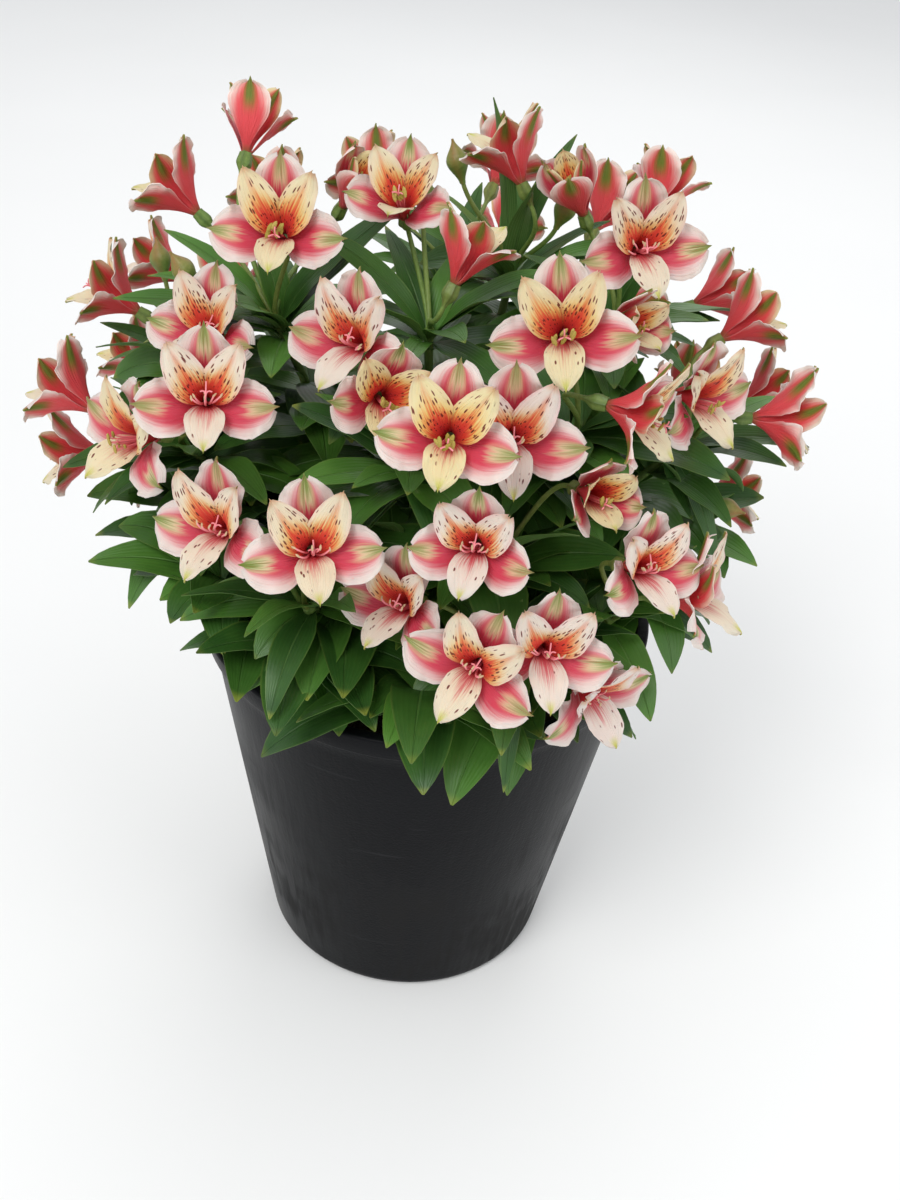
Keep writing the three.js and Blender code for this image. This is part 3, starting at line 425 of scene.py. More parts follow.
# Each flowering stem: where its rays meet, then each bloom as the place of its throat,
# its turn, its lift above the horizon, its roll, how far it has opened and how old it is,
# from 0, fresh and yellow inside, to 1, white inside with its stamens spent. Then its buds.
FLOWERING_STEMS = [
    ("top_left", (-66, -12, 324),
     [(-62, -38, 374, -4, 33, 2, 1, 0.3), (-110, 16, 364, -105, 38, 0, 0.75, 0.2),
      (-84, 32, 386, 172, 42, 0, 0.55, 0.1), (-42, 22, 370, 55, 58, 0, 0.25, 0)],
     [(-106, -24, 357)]),
    ("left_back", (-104, 14, 290),
     [(-88, -42, 334, -22, 40, 0, 0.9, 0.7), (-132, -6, 328, -92, 32, 0, 0.8, 0.4)],
     [(-124, 30, 340)]),
    ("left", (-98, -34, 276),
     [(-108, -80, 308, -40, 16, -18, 1, 0.35), (-80, -92, 332, 8, 30, 0, 1, 0.75),
      (-144, -38, 300, -105, 30, 0, 0.8, 0.6), (-148, -22, 264, -80, 2, 0, 0.8, 0.5)], []),
    ("lower_left", (-42, -90, 244),
     [(-72, -112, 292, -28, 25, 4, 1, 0.7), (-38, -126, 296, 10, 32, 6, 1, 0.55)], []),
    ("centre", (-8, -64, 294),
     [(-30, -70, 348, -30, 24, 0, 1, 0.85), (-18, -98, 342, 16, 20, -14, 0.75, 0.1),
      (6, -124, 344, -2, 28, -4, 0.95, 0.12), (27, -100, 332, 4, 22, 2, 1.05, 0.95)], []),
    ("upper_middle", (-6, -22, 330),
     [(6, -44, 372, 130, 62, 0, 0.6, 0.3), (-20, -10, 378, -10, 50, 0, 0.8, 0.4)],
     [(-14, 14, 384)]),
    ("top_middle", (24, 28, 334),
     [(20, 14, 390, -120, 55, 0, 0.75, 0.3)], [(-4, 34, 390), (46, 22, 378)]),
    ("top_right", (66, 8, 326),
     [(70, -24, 374, 14, 22, 6, 1, 0.65), (82, 36, 374, 150, 55, 0, 0.6, 0.4),
      (46, 10, 380, -60, 60, 0, 0.3, 0.1)], []),
    ("centre_right", (52, -44, 304),
     [(42, -78, 362, -4, 24, 10, 1.05, 0.25), (64, -58, 358, 45, 20, 0, 0.4, 0.3),
      (68, -92, 342, 66, 0, 12, 0.9, 0.4)], []),
    ("right", (98, -14, 284),
     [(96, -50, 328, 44, 12, 8, 0.95, 0.5), (132, -30, 312, 92, 2, 8, 0.9, 0.8),
      (118, 2, 336, 110, 34, 0, 0.7, 0.3)], [(128, -34, 270)]),
    ("lower_right", (38, -90, 230),
     [(22, -134, 258, -16, 20, -18, 1.05, 0.6), (46, -130, 264, 12, 20, -4, 1, 0.9),
      (66, -114, 234, 38, -4, 14, 1, 1), (-6, -112, 266, -34, 26, 0, 0.9, 0.8)], []),
    ("low_right_side", (74, -66, 234),
     [(100, -96, 270, 74, 20, 0, 1, 0.7), (78, -108, 288, 34, 25, 0, 0.85, 0.9)], []),
    ("low_middle", (24, -72, 256),
     [(18, -124, 302, -12, 22, 0, 0.85, 0.9), (58, -98, 311, 26, 20, 0, 0.5, 0.2)], []),
]

# The umbels behind, as the turn and lift in which each lies from the canopy's middle.
FAR_UMBELS = [
    ("right_far", 112, -6), ("right_back", 136, 26), ("back_high", 180, 40),
    ("back_low", 170, -10), ("left_far_high", -126, 24), ("left_far_low", -114, -14),
]
FAR_BLOOMS = 3
FAR_SPREAD = 16
FAR_CROWN_SHARE = 0.62
FAR_START = 0.17
FAR_FLARE = 1.8
FAR_LIFT = 24

# Leafy shoots: turn, the root's distance from the middle, height and lean.
SHOOTS = [
    (-55, 62, 232, 42), (-28, 66, 222, 36), (2, 70, 216, 34), (-82, 68, 240, 40),
    (30, 72, 214, 30), (62, 66, 236, 38), (92, 68, 244, 40), (122, 66, 232, 38),
    (152, 68, 240, 36), (182, 66, 236, 40), (-150, 68, 234, 38), (-118, 66, 240, 38),
    (-12, 40, 262, 26), (40, 30, 300, 14),
]


def heading(turn, lift):
    """The direction of a turn and a lift in degrees: their sines and cosines."""
    turn, lift = np.radians(turn), np.radians(lift)
    return np.stack([np.sin(turn) * np.cos(lift), -np.cos(turn) * np.cos(lift), np.sin(lift)], -1)


def unit(v):
    return v / np.linalg.norm(v, axis=-1, keepdims=True)


def mix(low, high, share):
    return low + (high - low) * share


def smooth_step(x, low, high):
    """0 below low, 1 above high, and 3 q^2 - 2 q^3 between, with q the share of the way."""
    q = np.clip((x - low) / (high - low), 0, 1)
    return q * q * (3 - 2 * q)


def cubic(controls, s):
    """Points of a cubic curve at shares s: its four control points, weighted by the
    terms of (r + s)^3 with r = 1 - s."""
    s = np.asarray(s, dtype=float)[..., None]
    r = 1 - s
    a, b, c, d = controls
    return a * r**3 + b * 3 * r * r * s + c * 3 * r * s * s + d * s**3


def cubic_direction(controls, s):
    """Its directions there: the steps between controls, weighted by those of (r + s)^2."""
    s = np.asarray(s, dtype=float)[..., None]
    r = 1 - s
    a, b, c, d = controls
    return unit((b - a) * r * r + (c - b) * 2 * r * s + (d - c) * s * s)


def drawer(seed):
    """Draws from 0 to 1, always the same for a seed: each state is 16807 times the last."""
    state = seed * 7919 + 17

    def draw(low=0.0, high=1.0):
        nonlocal state
        state = (state * 16807) % 2147483647
        return low + (high - low) * state / 2147483647

    return draw


def stem_curve(root, top):
    """A stem's controls: up from its root, then over to its top."""
    bends = [root + (top - root) * [flat, flat, high] for flat, high in (STEM_LOWER, STEM_UPPER)]
    return np.array([root, *bends, top])


def on_chord(curve, s):
    """A point on the straight pieces between the curve's own points."""
    step = min(math.floor(s * CHORDS), CHORDS - 1)
    ends = cubic(curve, np.array([step, step + 1]) / CHORDS)
    return mix(ends[0], ends[1], s * CHORDS - step)


def ray_curve(start, up, end, axis):
    """A ray's controls: out of the crown, then into the bloom's foot along its axis."""
    reach = np.linalg.norm(end - start)
    leave = unit(up * 0.9 + unit(end - start))
    return np.array([start, start + leave * reach * RAY_EASE, end - axis * reach * RAY_EASE, end])


def bloom_frame(x, y, z, turn, lift, roll, opened, age):
    """A bloom's foot, axis, upper side and right side, how far it has opened and its age."""
    axis = heading(turn, lift)
    level = unit(np.cross([0, 0, 1], axis))
    upright = np.cross(axis, level)
    roll = math.radians(roll)
    up = upright * math.cos(roll) - level * math.sin(roll)
    foot = np.array([x, y, z]) - axis * THROAT_DEPTH
    right = np.cross(up, axis)
    return {"foot": foot, "axis": axis, "up": up, "right": right, "open": opened, "age": age}


def far_umbel(name, turn, lift, index):
    """An umbel behind: blooms evenly round its direction, on the canopy's ball."""
    blooms = []
    for i in range(FAR_BLOOMS):
        angle = (i / FAR_BLOOMS + index * FAR_START) * 2 * math.pi
        a = turn + FAR_SPREAD * math.cos(angle) / math.cos(math.radians(lift))
        b = lift + FAR_SPREAD * math.sin(angle)
        spot = CANOPY_MIDDLE + heading(a, b) * CANOPY_RADII
        faces = (turn + (a - turn) * FAR_FLARE, FAR_LIFT + (b - lift) * 0.8)
        blooms.append((*spot, *faces, 0, 0.65 if i == 1 else 0.85, (index * 0.37 + i * 0.3) % 1))
    crown = CANOPY_MIDDLE + heading(turn, lift - 10) * CANOPY_RADII * FAR_CROWN_SHARE
    return name, crown, blooms, []


stems = []
umbels = FLOWERING_STEMS + [far_umbel(*far, i) for i, far in enumerate(FAR_UMBELS)]
for name, crown, blooms, buds in umbels:
    crown = np.array(crown, dtype=float)
    root = np.array([crown[0] * ROOT_SHARE, crown[1] * ROOT_SHARE, SOIL_TOP + NODE_GAP])
    curve = stem_curve(root, crown)
    end = cubic_direction(curve, 1)
    fork = crown + end * (NODE_GAP + CROWN_LENGTH * 0.8)
    blooms = [bloom_frame(*bloom) for bloom in blooms]
    rays = [ray_curve(fork, end, b["foot"] - b["axis"] * OVARY_LENGTH, b["axis"]) for b in blooms]
    bud_rays = []
    for tip in np.array(buds, dtype=float).reshape(-1, 3):
        axis = unit(unit(tip - fork) + np.array([0, 0, 0.6]))
        bud_rays.append(ray_curve(fork, end, tip - axis * BUD_LENGTH, axis))
    stems.append({"name": name, "curve": curve, "end": end, "blooms": blooms, "rays": rays,
                  "bud_rays": bud_rays, "flowering": True, "leaves": []})
for number, (turn, distance, height, lean) in enumerate(SHOOTS, start=1):
    root = heading(turn, 0) * distance + [0, 0, SOIL_TOP + NODE_GAP]
    top = heading(turn, 0) * (distance + lean) + [0, 0, height]
    stems.append({"name": f"shoot_{number:02d}", "curve": stem_curve(root, top), "blooms": [],
                  "rays": [], "bud_rays": [], "flowering": False, "leaves": []})

# A tepal's midrib is a cubic curve in the bloom's own frame, as four pairs of how far
# forward along the bloom's axis and how far out from it, for an open and a closed bloom.
# These sizes are those of a show bloom. A pot's blooms have BLOOM_SIZE of them.
CLOSED_MIDRIB = {
    "outer": [(1, 2), (10, 7.5), (24, 11.5), (34, 4.5)],
    "inner": [(1, 2), (11, 3), (24, 5.5), (32, 1.5)],
}
TEPALS = [
    ("outer", 0, 0, 24, [(1, 2), (10, 6), (18, 13), (26, 31)]),
    ("inner", 66, 33, 15.5, [(1, 2), (14, 2), (23, 8), (30, 27)]),
    ("outer", 120, 94, 25, [(1, 2), (10, 6), (19, 13), (20, 30)]),
    ("inner", 180, 180, 15.5, [(1, 2), (12, 2), (24, 6), (32, 21)]),
    ("outer", 240, 266, 25, [(1, 2), (10, 6), (19, 13), (20, 30)]),
    ("inner", 294, 327, 15.5, [(1, 2), (14, 2), (23, 8), (30, 27)]),
]
SWING = (0, 0, 0.4, 1)
CLAW = {"outer": 0.16, "inner": 0.18}
WIDEST = {"outer": 0.7, "inner": 0.62}
CUP = (0.35, 0.06)
CLOSED_WIDTH = 0.7


def tepal_share(whorl, s):
    """Half a tepal's width as a share of its greatest: a smooth step up from the claw to
    the widest place, then the rest of a circle (outer whorl) or of a cosine (inner)."""
    widest, claw = WIDEST[whorl], CLAW[whorl]
    q = np.clip(s / widest, 0, 1)
    rising = mix(claw, 1, (q * q * (3 - 2 * q)) ** 1.1)
    q = np.clip((s - widest) / (1 - widest), 0, 1)
    if whorl == "outer":
        return np.where(s < widest, rising, np.sqrt(1 - q * q))
    return np.where(s < widest, rising, np.cos(q * np.pi / 2) ** 0.85)


def tepal_surface(bloom, tepal, s, t, least=0):
    """Points of a tepal's middle sheet at shares s along and t across, from -1 to 1, then
    the ways its inner face looks and it runs. Its width has a least share of its greatest."""
    whorl, foot_turn, tip_turn, width, midrib = tepal
    k = min(bloom["open"], 1)
    wide = BLOOM_SIZE * max(bloom["open"], 1)
    controls = []
    for (forward, out), closed, swing in zip(midrib, CLOSED_MIDRIB[whorl], SWING):
        turn = math.radians(mix(foot_turn, tip_turn, swing * k))
        radial = bloom["up"] * math.cos(turn) + bloom["right"] * math.sin(turn)
        ahead = mix(closed[0], forward, k) * wide
        away = mix(closed[1], out, k) * wide
        controls.append(bloom["foot"] + bloom["axis"] * ahead + radial * away)
    middle = cubic(controls, s)
    along = cubic_direction(controls, s)
    axis = bloom["axis"]
    reach = middle - bloom["foot"]
    radial = unit(reach - axis * (reach @ axis)[..., None])
    lean_out = (along * radial).sum(-1, keepdims=True)
    facing = axis * lean_out - radial * (along @ axis)[..., None]
    inward = unit(facing - along * (facing * along).sum(-1, keepdims=True))
    across = np.cross(along, inward)
    share = np.maximum(tepal_share(whorl, s), least)
    half = width * BLOOM_SIZE / 2 * mix(CLOSED_WIDTH, 1, k) * share
    cup = mix(CUP[0], CUP[1], np.minimum(1, s / WIDEST["outer"])) * half * t * t
    return middle + across * (half * t)[..., None] + inward * cup[..., None], inward, along


def leaf_share(s):
    """Half a leaf's width as a share of its greatest: a sine, widest before its middle."""
    return np.sin(np.pi * np.clip(s, 0, 1) ** 0.85) ** 1.1


def leaf_surface(leaf, s, t, least=0):
    """Points of a leaf's middle sheet, the way its upper face looks and half its width. The
    midrib is one arc from its lift down by its droop, and the blade turns round it by its
    twist. Half the width is nowhere less than the least."""
    lift, droop = math.radians(leaf["lift"]), math.radians(leaf["droop"])
    slope = lift - droop * s
    ahead = leaf["length"] * (math.sin(lift) - np.sin(slope)) / droop
    rise = leaf["length"] * (np.cos(slope) - math.cos(lift)) / droop
    out = heading(leaf["turn"], 0)
    level = np.array([out[1], -out[0], 0])
    upper = -out * np.sin(slope)[..., None] + np.array([0, 0, 1]) * np.cos(slope)[..., None]
    twist = (math.radians(leaf["twist"]) * s)[..., None]
    across = level * np.cos(twist) + upper * np.sin(twist)
    facing = upper * np.cos(twist) - level * np.sin(twist)
    half = np.maximum(leaf["width"] / 2 * leaf_share(s), least)
    middle = leaf["base"] + out * ahead[..., None] + np.array([0, 0, 1]) * rise[..., None]
    fold = LEAF_FOLD * half * np.abs(t) ** 1.5
    return middle + across * (half * t)[..., None] + facing * fold[..., None], facing, half


# Leaves keep clear of all else: a place is a point with the room it needs, whose stem's
# it is, and, on a leaf, its share of the leaf's length.
BLOOM_ROOM = 5.5
BUD_ROOM = 7.5
RAY_ROOM = 4.5
STEM_ROOM = 5
LEAF_ROOM = 4.6
SISTER_ROOM = 3.6
SISTER_FROM = 0.4
POT_ROOM = 3.5
NO_STEM = -1
TEPAL_ROWS = (0.25, 0.4, 0.55, 0.7, 0.85, 1)
LEAF_ROWS = (0.22, 0.34, 0.46, 0.58, 0.7, 0.82, 0.92, 1)
ACROSS = (-0.75, 0, 0.75)
BENDS = [
    (0, 0, 0), (14, 6, 0), (-14, 6, 0), (0, -16, 10), (0, 16, 8), (26, -8, 14), (-26, -8, 14),
    (38, 10, 0), (-38, 10, 0), (10, -28, 0), (-10, -28, 0), (0, 26, 40),
]
SHORTER = (1, 0.8, 0.62)

places = []


def keep_clear(points, room, owner, share=-1.0):
    """Notes points that leaves must keep clear of."""
    points = points.reshape(-1, 3)
    extra = np.empty((len(points), 3))
    extra[:, 0], extra[:, 1], extra[:, 2] = room, owner, share
    places.append(np.concatenate([points, extra], axis=1))


rows, columns = np.meshgrid(TEPAL_ROWS, ACROSS, indexing="ij")
for owner, stem in enumerate(stems):
    keep_clear(cubic(stem["curve"], np.arange(21) / 20), STEM_ROOM, owner)
    for ray in stem["rays"] + stem["bud_rays"]:
        keep_clear(cubic(ray, np.arange(2, 11) / 10), RAY_ROOM, NO_STEM)
    for ray in stem["bud_rays"]:
        up_bud = np.array([[0.3], [0.6], [1]]) * BUD_LENGTH
        keep_clear(ray[3] + cubic_direction(ray, 1) * up_bud, BUD_ROOM, NO_STEM)
    for bloom in stem["blooms"]:
        for tepal in TEPALS:
            keep_clear(tepal_surface(bloom, tepal, rows, columns)[0], BLOOM_ROOM, NO_STEM)


def is_clear(points, shares, owner, taken, ease):
    """Whether a leaf's points clear the pot, the soil and every taken place. Ease is the
    share of each place's room that the leaf has to leave."""
    x, y, z = points.T
    r = np.hypot(x, y)
    room = POT_ROOM * ease
    outside = r > pot_radius(z) + LIP_OUT + room
    inside = (r < pot_radius(z) - WALL - room) & (z > SOIL_TOP + room)
    if ((z < POT_HEIGHT + room) & ~outside & ~inside).any():
        return False
    own = taken[:, 4] == owner
    skipped = own & ((shares < SISTER_FROM)[:, None] | (taken[:, 5] <= SISTER_FROM))
    room = np.where(own, SISTER_ROOM, taken[:, 3]) * ease
    apart = ((points[:, None] - taken[None, :, :3]) ** 2).sum(axis=-1)
    return not ((apart < room**2) & ~skipped).any()


def grow(owner, leaf, base, ease=1.0):
    """Grows a leaf on its stem, bent or made shorter until it is clear. Where it never is,
    it is left out."""
    leaf = dict(leaf, base=base)
    rows, columns = np.meshgrid(LEAF_ROWS, ACROSS, indexing="ij")
    taken = np.concatenate(places)
    taken = taken[np.abs(taken[:, :3] - leaf["base"]).max(axis=1) < leaf["length"] + 12]
    for short in SHORTER:
        for turn, lift, droop in BENDS:
            bent = dict(leaf, length=leaf["length"] * short, width=leaf["width"] * math.sqrt(short))
            bent["turn"] += turn
            bent["lift"] += lift
            bent["droop"] += droop
            points = leaf_surface(bent, rows, columns)[0].reshape(-1, 3)
            if is_clear(points, rows.ravel(), owner, taken, ease):
                keep_clear(points, LEAF_ROOM, owner, rows.ravel())
                stems[owner]["leaves"].append(bent)
                return


# How leaves are drawn: the ranges of each leaf's size, width, lift, droop and twist, and
# for the spiral where on a flowering stem (True) or a shoot it starts and ends, its sizes
# there, how much steeper it grows and how many leaves it has.
SPIRAL = ((0.88, 1.1), (0.85, 1.1), (22, 48), (45, 85), (-28, 28))
WHORL = ((0.72, 0.95), (0.58, 0.75), (14, 36), (35, 70), (-20, 20))
GROWTH = {True: ((0.34, 0.86), (1.12, 0.9), 0, 5), False: ((0.45, 0.96), (1.15, 0.95), 14, 7)}
WHORL_LEAVES = 5
WHORL_TURN = 40
WHORL_SWAY = 14
WHORL_PLACES = (0.95, 0.98)


def drawn_leaf(draw, ranges, turn, scale=None, steeper=0):
    """A leaf that is drawn in its ranges. One with a scale is as wide as it is long."""
    size, width, lift, droop, twist = (draw(*between) for between in ranges)
    size = size if scale is None else scale * size
    wide = 1 if scale is None else size
    return {"turn": turn, "length": LEAF_LENGTH * size, "width": LEAF_WIDTH * wide * width,
            "lift": lift + steeper, "droop": droop, "twist": twist}


for owner, stem in enumerate(stems):
    draw = drawer(owner + 1)
    first = draw() * 360
    stretch, sizes, steeper, count = GROWTH[stem["flowering"]]
    wanted = []
    for i in range(count):
        up = i / (count - 1)
        turn = first + i * GOLDEN_TURN
        leaf = drawn_leaf(draw, SPIRAL, turn, mix(*sizes, up), up * steeper)
        wanted.append((leaf, mix(*stretch, up)))
    for i in range(WHORL_LEAVES if stem["flowering"] else 0):
        turn = first + WHORL_TURN + i * 360 / WHORL_LEAVES + draw(-WHORL_SWAY, WHORL_SWAY)
        wanted.append((drawn_leaf(draw, WHORL, turn), WHORL_PLACES[i % 2]))
    for leaf, s in wanted:
        grow(owner, leaf, on_chord(stem["curve"], s))

# Leaves that stand out from the bush, as the stem whose top they grow at, their turn,
# lift, length, width, droop and twist.
LONE_LEAVES = [
    ("top_left", -72, 30, 68, 14, 30, 20), ("top_left", -102, 55, 61, 10, 40, 30),
    ("top_left", 108, 62, 70, 14, 30, -40), ("top_left", -36, 45, 44, 17, 30, 30),
    ("top_left", 40, 20, 50, 15, 50, -20), ("left_back", -66, 45, 50, 8, 25, 50),
    ("upper_middle", -96, 76, 64, 11, 30, 60), ("upper_middle", 84, 58, 58, 13, 40, -30),
    ("top_middle", -30, 84, 88, 9, 22, 20), ("top_middle", 120, 85, 68, 9, 34, -70),
    ("top_middle", 12, 78, 62, 11, 30, -50), ("top_middle", -108, 40, 60, 13, 30, 40),
    ("top_middle", 70, 50, 58, 13, 40, -30), ("top_right", 100, 30, 60, 14, 40, 20),
    ("centre_right", 72, 22, 66, 24, 45, -20), ("right", 114, -8, 48, 14, 45, 20),
    ("right", 30, -8, 54, 10, 60, 10), ("low_middle", 88, 35, 56, 23, 40, -24),
    ("centre", -84, 48, 54, 17, 34, 20), ("lower_right", 0, 14, 62, 9, 98, 30),
    ("low_middle", -84, 30, 62, 22, 36, 16), ("low_middle", 56, 64, 54, 16, 44, 30),
    ("low_middle", -20, 40, 50, 18, 50, -20), ("low_right_side", -30, 46, 46, 15, 40, 20),
    ("top_right", -60, 60, 60, 14, 36, 20), ("top_right", 150, 60, 62, 14, 34, 20),
    ("right", 60, 40, 52, 14, 50, -20), ("left", -70, 20, 54, 16, 40, 20),
]
LONE_EASE = 0.25

LONE_PLACE = 0.98

names = [stem["name"] for stem in stems]
for name, turn, lift, length, width, droop, twist in LONE_LEAVES:
    owner = names.index(name)
    leaf = {"turn": turn, "lift": lift, "length": length, "width": width, "droop": droop,
            "twist": twist}
    grow(owner, leaf, cubic(stems[owner]["curve"], LONE_PLACE), LONE_EASE)

# The leaves that fill the bush: narrow ones that rise from a stem's top among its rays,
# then the younger and smaller ones between the large ones. Each kind has its counts on a
# flowering stem and on a shoot, its seed, its ease, its stretch of the stem and its ranges.
FILLING = [
    ({True: 6, False: 0}, 351, 0.3, (0.95, 1),
     ((0.6, 0.95), (0.4, 0.7), (34, 74), (20, 60), (-35, 35))),
    ({True: 10, False: 13}, 301, 0.45, (0.5, 0.99),
     ((0.6, 0.9), (0.75, 1.1), (14, 56), (45, 90), (-35, 35))),
]

for counts, seed, ease, stretch, ranges in FILLING:
    for owner, stem in enumerate(stems):
        draw = drawer(owner + seed)
        first = draw() * 360
        for i in range(counts[stem["flowering"]]):
            base = cubic(stem["curve"], draw(*stretch))
            leaf = dict(drawn_leaf(draw, ranges, first + i * GOLDEN_TURN), filling=True)
            grow(owner, leaf, base, ease)


def blade(middle, facing, thickness, back=None):
    """A thin closed blade round a middle sheet, [row, column, xyz]: the sheet is moved half
    the thickness both ways along its facing, and a narrow wall joins the two round the edge."""
    count, width = middle.shape[:2]
    behind = thickness if back is None else back
    front = middle + facing * (thickness / 2)[..., None]
    rear = middle - facing * (behind / 2)[..., None]
    index = np.arange(count * width).reshape(count, width)
    quads = [index[:-1, :-1], index[:-1, 1:], index[1:, 1:], index[1:, :-1]]
    quads = np.stack(quads, -1).reshape(-1, 4)
    rim = np.concatenate([index[0, :-1], index[:-1, -1], index[-1, :0:-1], index[:0:-1, 0]])
    after = np.roll(rim, -1)
    other = count * width
    walls = np.stack([after, rim, rim + other, after + other], -1)
    points = np.concatenate([front.reshape(-1, 3), rear.reshape(-1, 3)])
    return points, np.concatenate([quads, quads[:, ::-1] + other, walls]), NO_FACES


def bar(curve, steps, radii, sides):
    """Evenly spaced rings round a cubic curve, from one radius evenly to the other, each
    across the curve's direction."""
    s = np.linspace(0, 1, steps)
    along = cubic_direction(curve, np.clip(s, 1e-3, 1 - 1e-3))
    aside = unit(np.cross(along, [0.31, 0.94, 0.12]))
    over = np.cross(along, aside)
    angle = np.arange(sides) * 2 * np.pi / sides
    ring = aside[:, None] * np.cos(angle)[:, None] + over[:, None] * np.sin(angle)[:, None]
    return cubic(curve, s)[:, None] + ring * np.linspace(*radii, steps)[:, None, None]


leaf_green = Finish("leaf_blade", Specular_IOR_Level=0.32, Coat_Weight=0.06, Coat_Roughness=0.3)
across, along = leaf_green.on_surface()
under, tone, wear = leaf_green.marks()
t = across * 2.0 - 1.0
spread = abs(t)
at = leaf_green.place()
blotch = leaf_green.noise(at, 60.0, 3.0)
wave = (t * 31.4).math("COSINE")
veins = wave.rises(0.72, 1.0) * spread.falls(0.86, 0.98)
midrib = spread.falls(0.015, 0.07)
rear = leaf_green.coats(tint(62, 102, 44), (tone * 0.6 + blotch * 0.4, tint(102, 140, 68)),
                        (veins * 0.4, tint(140, 166, 106)))
shade = leaf_green.coats(
    tint(32, 68, 24),
    (tone * 0.8 + (blotch - 0.35) * 0.7, tint(80, 126, 46)),
    (veins * 0.07, tint(96, 138, 70)),
    (midrib * along.falls(0.3, 0.95) * 0.4, tint(110, 148, 78)),
    (spread.rises(0.9, 1.0) * 0.3, tint(122, 146, 66)),
    (along.rises(0.93, 1.0) * (0.2 + wear * 0.7), tint(150, 160, 62)),
    (under, rear))
gloss = 0.34 + blotch * 0.12 + under * 0.22
leaf_blade = leaf_green.paint(shade, gloss, wave * 0.05 + blotch - midrib * 0.8, 0.0005)

stem_green = Finish("stem_skin", Specular_IOR_Level=0.4)
at = stem_green.place()
x, y, z = stem_green.parts(at)
ribs = stem_green.noise(stem_green.vector(x * 900.0, y * 900.0, z * 18.0), 1.0, 3.0)
shade = stem_green.coats(tint(74, 104, 46), (ribs, tint(118, 146, 74)),
                         (z.falls(0.17, 0.24) * 0.6, tint(128, 92, 62)))
stem_skin = stem_green.paint(shade, 0.4 + ribs * 0.2, ribs, 0.0003)

RIPPLE = 0.09
PETIOLE_HALF = 1.1
LEAF_TIP_HALF = 0.12


def leaf_blade_of(leaf, draw):
    """A leaf as a closed blade, with its shares along and across. Its outline is fuller than
    the plain one, a sine to the power 0.76, and its margin ripples as a sine along it."""
    rows, columns = FILLING_GRID if "filling" in leaf else LEAF_GRID
    s, t = np.meshgrid(np.linspace(0, 1, rows) ** 0.95, np.linspace(-1, 1, columns), indexing="ij")
    least = np.where(s < 0.5, PETIOLE_HALF, LEAF_TIP_HALF)
    oval = np.sin(np.pi * (s * 0.995) ** 0.82) ** 0.76 * smooth_step(s, 0.04, 0.3)
    points, facing, half = leaf_surface(leaf, s, t, np.maximum(least, oval * leaf["width"] / 2))
    phase = draw(0, 6.3) + np.where(t > 0, 2.1, 0)
    ripple = RIPPLE * half * t**2 * np.sin(s * draw(9, 15) + phase)
    thickness = LEAF_THICKNESS * (1 - 0.7 * t**2)
    return blade(points + facing * ripple[..., None], facing, thickness), s, t


LEAF_SEED = 601

for owner, stem in enumerate(stems):
    piece = Piece()
    draw = drawer(owner + LEAF_SEED)
    rings = bar(stem["curve"], STEM_STEPS, (STEM_RADIUS, STEM_TIP_RADIUS), STEM_SIDES)
    root = rings[:1] - [0, 0, STEM_DEPTH]
    piece.add(*sleeve(np.concatenate([root, rings])), kind=1)
    for leaf in stem["leaves"]:
        surface, s, t = leaf_blade_of(leaf, draw)
        marks = np.empty((2 * s.size, 3))
        marks[:, 0] = np.repeat([0, 1], s.size)
        marks[:, 1:] = draw(), draw() ** 2
        uv = np.stack([(t + 1) / 2, s], -1).reshape(-1, 2)
        piece.add(*surface, uv=np.tile(uv, (2, 1)), marks=marks)
    node = "leafy_stem_" + stem["name"]
    piece.write("foliage_" + stem["name"], "leaf", [leaf_blade, stem_skin], [node])

# An umbel's stalks: the swollen crown at the stem's top, a thin green ray to each bloom
# and bud, the ribbed green seed case under each bloom, and the buds, still shut.
CROWN_RADIUS = 2.4
CROWN_ROWS = 8
CROWN_SIDES = 14
RAY_RADII = (1.1, 0.95)
RAY_STEPS = 16
RAY_SIDES = 8
CASE_RADIUS = 2.945
CASE_RIM = 2.5
CASE_ROWS = 14
CASE_SIDES = 24
CASE_RIBS = 6
BUD_ROWS = 18
BUD_SIDES = 18
BUD_SEAMS = 3
STALK_SEED = 901

stalk_green = Finish("stalk_skin", Specular_IOR_Level=0.4)
ridge, blush, tip = stalk_green.marks()
at = stalk_green.place()
fine = stalk_green.noise(at, 700.0, 3.0)
shade = stalk_green.coats(tint(86, 118, 50), (fine, tint(128, 156, 78)),
                          (ridge * 0.6, tint(54, 88, 36)),
                          (blush * (0.2 + fine * 0.4), tint(146, 92, 52)),
                          (tip * (fine * 0.4 + 0.25), tint(190, 84, 66)))
stalk_skin = stalk_green.paint(shade, 0.36 + fine * 0.2, fine, 0.0003)


def ribbed(start, end, profile, sides, ribs, depth, aside):
    """Rings along a straight line, each of a share along it and a radius. The radius is
    greater by the depth's share on the ribs and less between them, as a cosine."""
    axis = unit(end - start)
    aside = unit(aside - axis * (aside @ axis))
    over = np.cross(axis, aside)
    angle = np.arange(sides) * 2 * np.pi / sides
    share, radius = np.array(profile).T[:, :, None]
    radius = radius * (1 + depth * np.cos(angle * ribs))
    ring = aside * np.cos(angle)[:, None] + over * np.sin(angle)[:, None]
    middle = start + axis * (share * np.linalg.norm(end - start))[..., None]
    return middle + ring * radius[..., None]


def swelling(shares, low, most, high, peak):
    """A profile from a low radius through its greatest at the peak to a last one, each
    half a smooth step."""
    rising = mix(low, most, smooth_step(shares, 0, peak))
    falling = mix(high, most, 1 - smooth_step(shares, peak, 1))
    return np.stack([shares, np.where(shares < peak, rising, falling)], -1)


def umbel_pieces(seed):
    """Each flowering stem, with a new piece for a part of its umbel and the draws for it."""
    for owner, stem in enumerate(stems):
        if stem["flowering"]:
            yield stem, Piece(), drawer(owner + seed)


